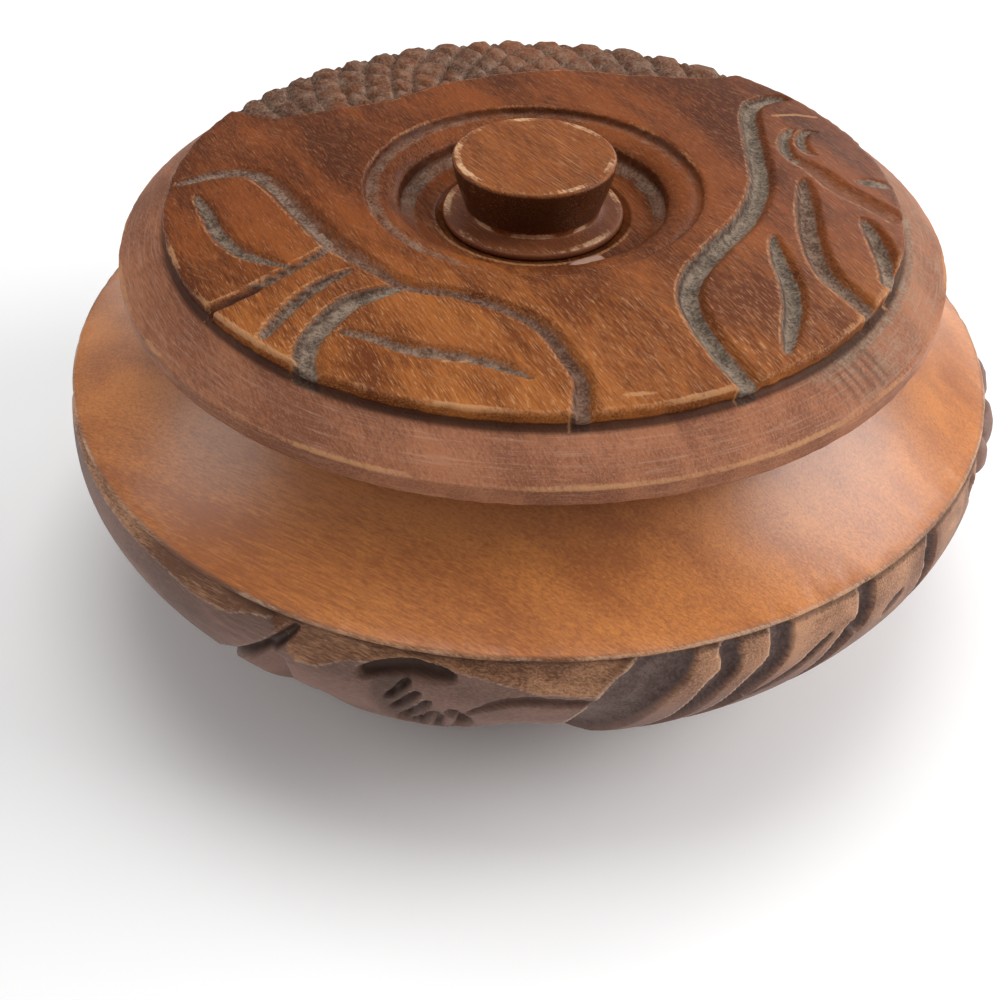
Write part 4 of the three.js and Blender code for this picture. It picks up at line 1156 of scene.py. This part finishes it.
# %% Bowl material
bowl_material, tree, shader = new_material("bowl_carved_wood")
shader.inputs["Specular IOR Level"].default_value = 0.25
shader.inputs["Coat Roughness"].default_value = 0.28
position = in_millimetres(tree, 30)
gloss = carried(tree, "gloss")
honey = placed(tree, timber, Position=position, Light=(0.6, 0.205, 0.038), Dark=(0.34, 0.095, 0.016),
               Pore=(0.2, 0.06, 0.02), Pore_share=0.4, Blotch=0.35)
carved = placed(tree, timber, Position=position, Light=(0.24, 0.13, 0.098), Dark=(0.13, 0.068, 0.05),
                Pore=(0.3, 0.19, 0.15), Pore_share=0.35, Blotch=0.6)
rough_band = placed(tree, timber, Position=position, Light=(0.56, 0.28, 0.145), Dark=(0.17, 0.068, 0.032),
                    Pore=(0.09, 0.036, 0.018), Pore_share=0.7, Blotch=0.9)
dust = placed(tree, dusty, Position=position, Amount=carried(tree, "dust"), Pale=(0.17, 0.112, 0.097),
              Deep=(0.1, 0.062, 0.053))
edge = placed(tree, worn, Position=position, Amount=carried(tree, "wear"))
scratch = placed(tree, scratched, Position=in_millimetres(tree, 75), Share=0.15)
rings = placed(tree, turning, Position=position, Width=0.35)
color = blended(tree, carried(tree, "band"), carved.outputs["Color"], rough_band.outputs["Color"])
color = blended(tree, gloss, color, honey.outputs["Color"])
speckle = span(tree, dust.outputs["Grit"], 0.5, 0.66)
color = tinted(tree, color, speckle, times(tree, gloss, 0.3), (0.22, 0.06, 0.014))
color = blended(tree, scratch.outputs["Mask"], color, (0.5, 0.28, 0.15))
color = blended(tree, dust.outputs["Mask"], color, dust.outputs["Color"])
# Painted shade from the skin's mask: cuts, under the bead, under the lid and between lumps, with the punch
# marks as dark dots
color = tinted(tree, color, carried(tree, "shade_and_marks"), 0.8, (0.035, 0.015, 0.009))
color = tinted(tree, color, edge.outputs["Mask"], 0.6, (0.56, 0.38, 0.26))
tree.links.new(times(tree, gloss, 0.6), shader.inputs["Coat Weight"])
rough = span(tree, gloss, 0, 1, 0.55, 0.36)
rough = plus(tree, rough, dust.outputs["Mask"], 0.2, True)
height = times(tree, honey.outputs["Pores"], -0.4)
height = plus(tree, height, honey.outputs["Figure"], 0.15)
height = plus(tree, height, rings.outputs["Mask"], times(tree, gloss, 0.35))
height = plus(tree, height, carried(tree, "band"), rough_band.outputs["Figure"])
height = plus(tree, height, dust.outputs["Grit"], times(tree, dust.outputs["Mask"], 0.8))
finished(tree, shader, color, rough, height, 0.09)
bowl.data.materials.append(bowl_material)

# %% Knob material
knob_material, tree, shader = new_material("knob_turned_wood")
shader.inputs["Specular IOR Level"].default_value = 0.15
position = in_millimetres(tree, 56)
wood = placed(tree, timber, Position=position, Light=(0.3, 0.088, 0.018), Dark=(0.125, 0.031, 0.007),
              Pore=(0.5, 0.23, 0.09), Pore_share=0.5, Blotch=0.3)
edge = placed(tree, worn, Position=position, Amount=carried(tree, "wear"))
scratch = placed(tree, scratched, Position=in_millimetres(tree, 52), Share=0.6)
# Painted shade on the waist under the head
color = tinted(tree, wood.outputs["Color"], carried(tree, "side"), 0.8, (0.03, 0.008, 0.004))
color = tinted(tree, color, carried(tree, "skirt"), 0.6, (0.16, 0.055, 0.03))
color = blended(tree, scratch.outputs["Mask"], color, (0.56, 0.28, 0.13))
# Pale rubbed edges, and a painted highlight at the foot of the neck
color = tinted(tree, color, edge.outputs["Mask"], 0.8, (0.68, 0.42, 0.24))
rough = span(tree, edge.outputs["Mask"], 0, 1, 0.36, 0.5)
height = times(tree, wood.outputs["Pores"], -0.5)
height = plus(tree, height, scratch.outputs["Mask"], -0.6)
finished(tree, shader, color, rough, height, 0.1)
knob.data.materials.append(knob_material)
print("materials", [m.name for m in bpy.data.materials])

# %% [markdown]
# ## Floor and light
# The box stands on a plain pale floor in a light tent. One big soft light hangs behind and above
# it, so that the far walls of the grooves stay dark. One soft light on each side draws the broad
# gleams on the cove, and a low one far behind lays a milky sheen over the right of the lid.

# %% Floor, world and lamps
floor_mesh = bpy.data.meshes.new("floor")
floor_half = 4.0
corners = [(-1, -1), (1, -1), (1, 1), (-1, 1)]
floor_mesh.from_pydata([(floor_half * x, floor_half * y, 0) for x, y in corners], [], [(0, 1, 2, 3)])
floor = bpy.data.objects.new("floor", floor_mesh)
bpy.context.scene.collection.objects.link(floor)
floor_material, tree, shader = new_material("pale_floor")
joined(tree, shader.inputs["Base Color"], (0.95, 0.95, 0.95))
shader.inputs["Roughness"].default_value = 0.9
floor_mesh.materials.append(floor_material)

world = bpy.data.worlds.new("light_tent")
world.use_nodes = True
sky = world.node_tree
sky.nodes["Background"].inputs[0].default_value = (1, 1, 1, 1)
seen = sky.nodes.new("ShaderNodeLightPath").outputs["Is Camera Ray"]
sky.links.new(span(sky, seen, 0, 1, 0.35, 1.0), sky.nodes["Background"].inputs[1])
bpy.context.scene.world = world
bpy.context.scene.view_settings.view_transform = "Standard"


def soft_light(name, spot, aim, size, power):
    """A square area light at spot (m), turned towards aim (m)."""
    lamp = bpy.data.lights.new(name, "AREA")
    lamp.shape, lamp.size, lamp.energy = "SQUARE", size, power
    holder = bpy.data.objects.new(name, lamp)
    away = np.array(spot) - np.array(aim)
    away = away / np.linalg.norm(away)
    side = np.cross((0, 0, 1), away)
    side = side / np.linalg.norm(side)
    over = np.cross(away, side)
    holder.matrix_world = Matrix(
        [[side[k], over[k], away[k], spot[k]] for k in range(3)] + [[0, 0, 0, 1]]
    )
    bpy.context.scene.collection.objects.link(holder)


soft_light("light_above", (0.0, 0.2, 1.1), (0, 0, 0.05), 0.7, 5.5)
soft_light("light_left", (-0.8, 0.0, 0.45), (0, 0, 0.05), 0.4, 1.3)
soft_light("light_right", (0.8, 0.0, 0.45), (0, 0, 0.05), 0.6, 7)
soft_light("light_behind", (0.5, 0.8, 0.41), (0, 0, 0.07), 0.5, 1.8)
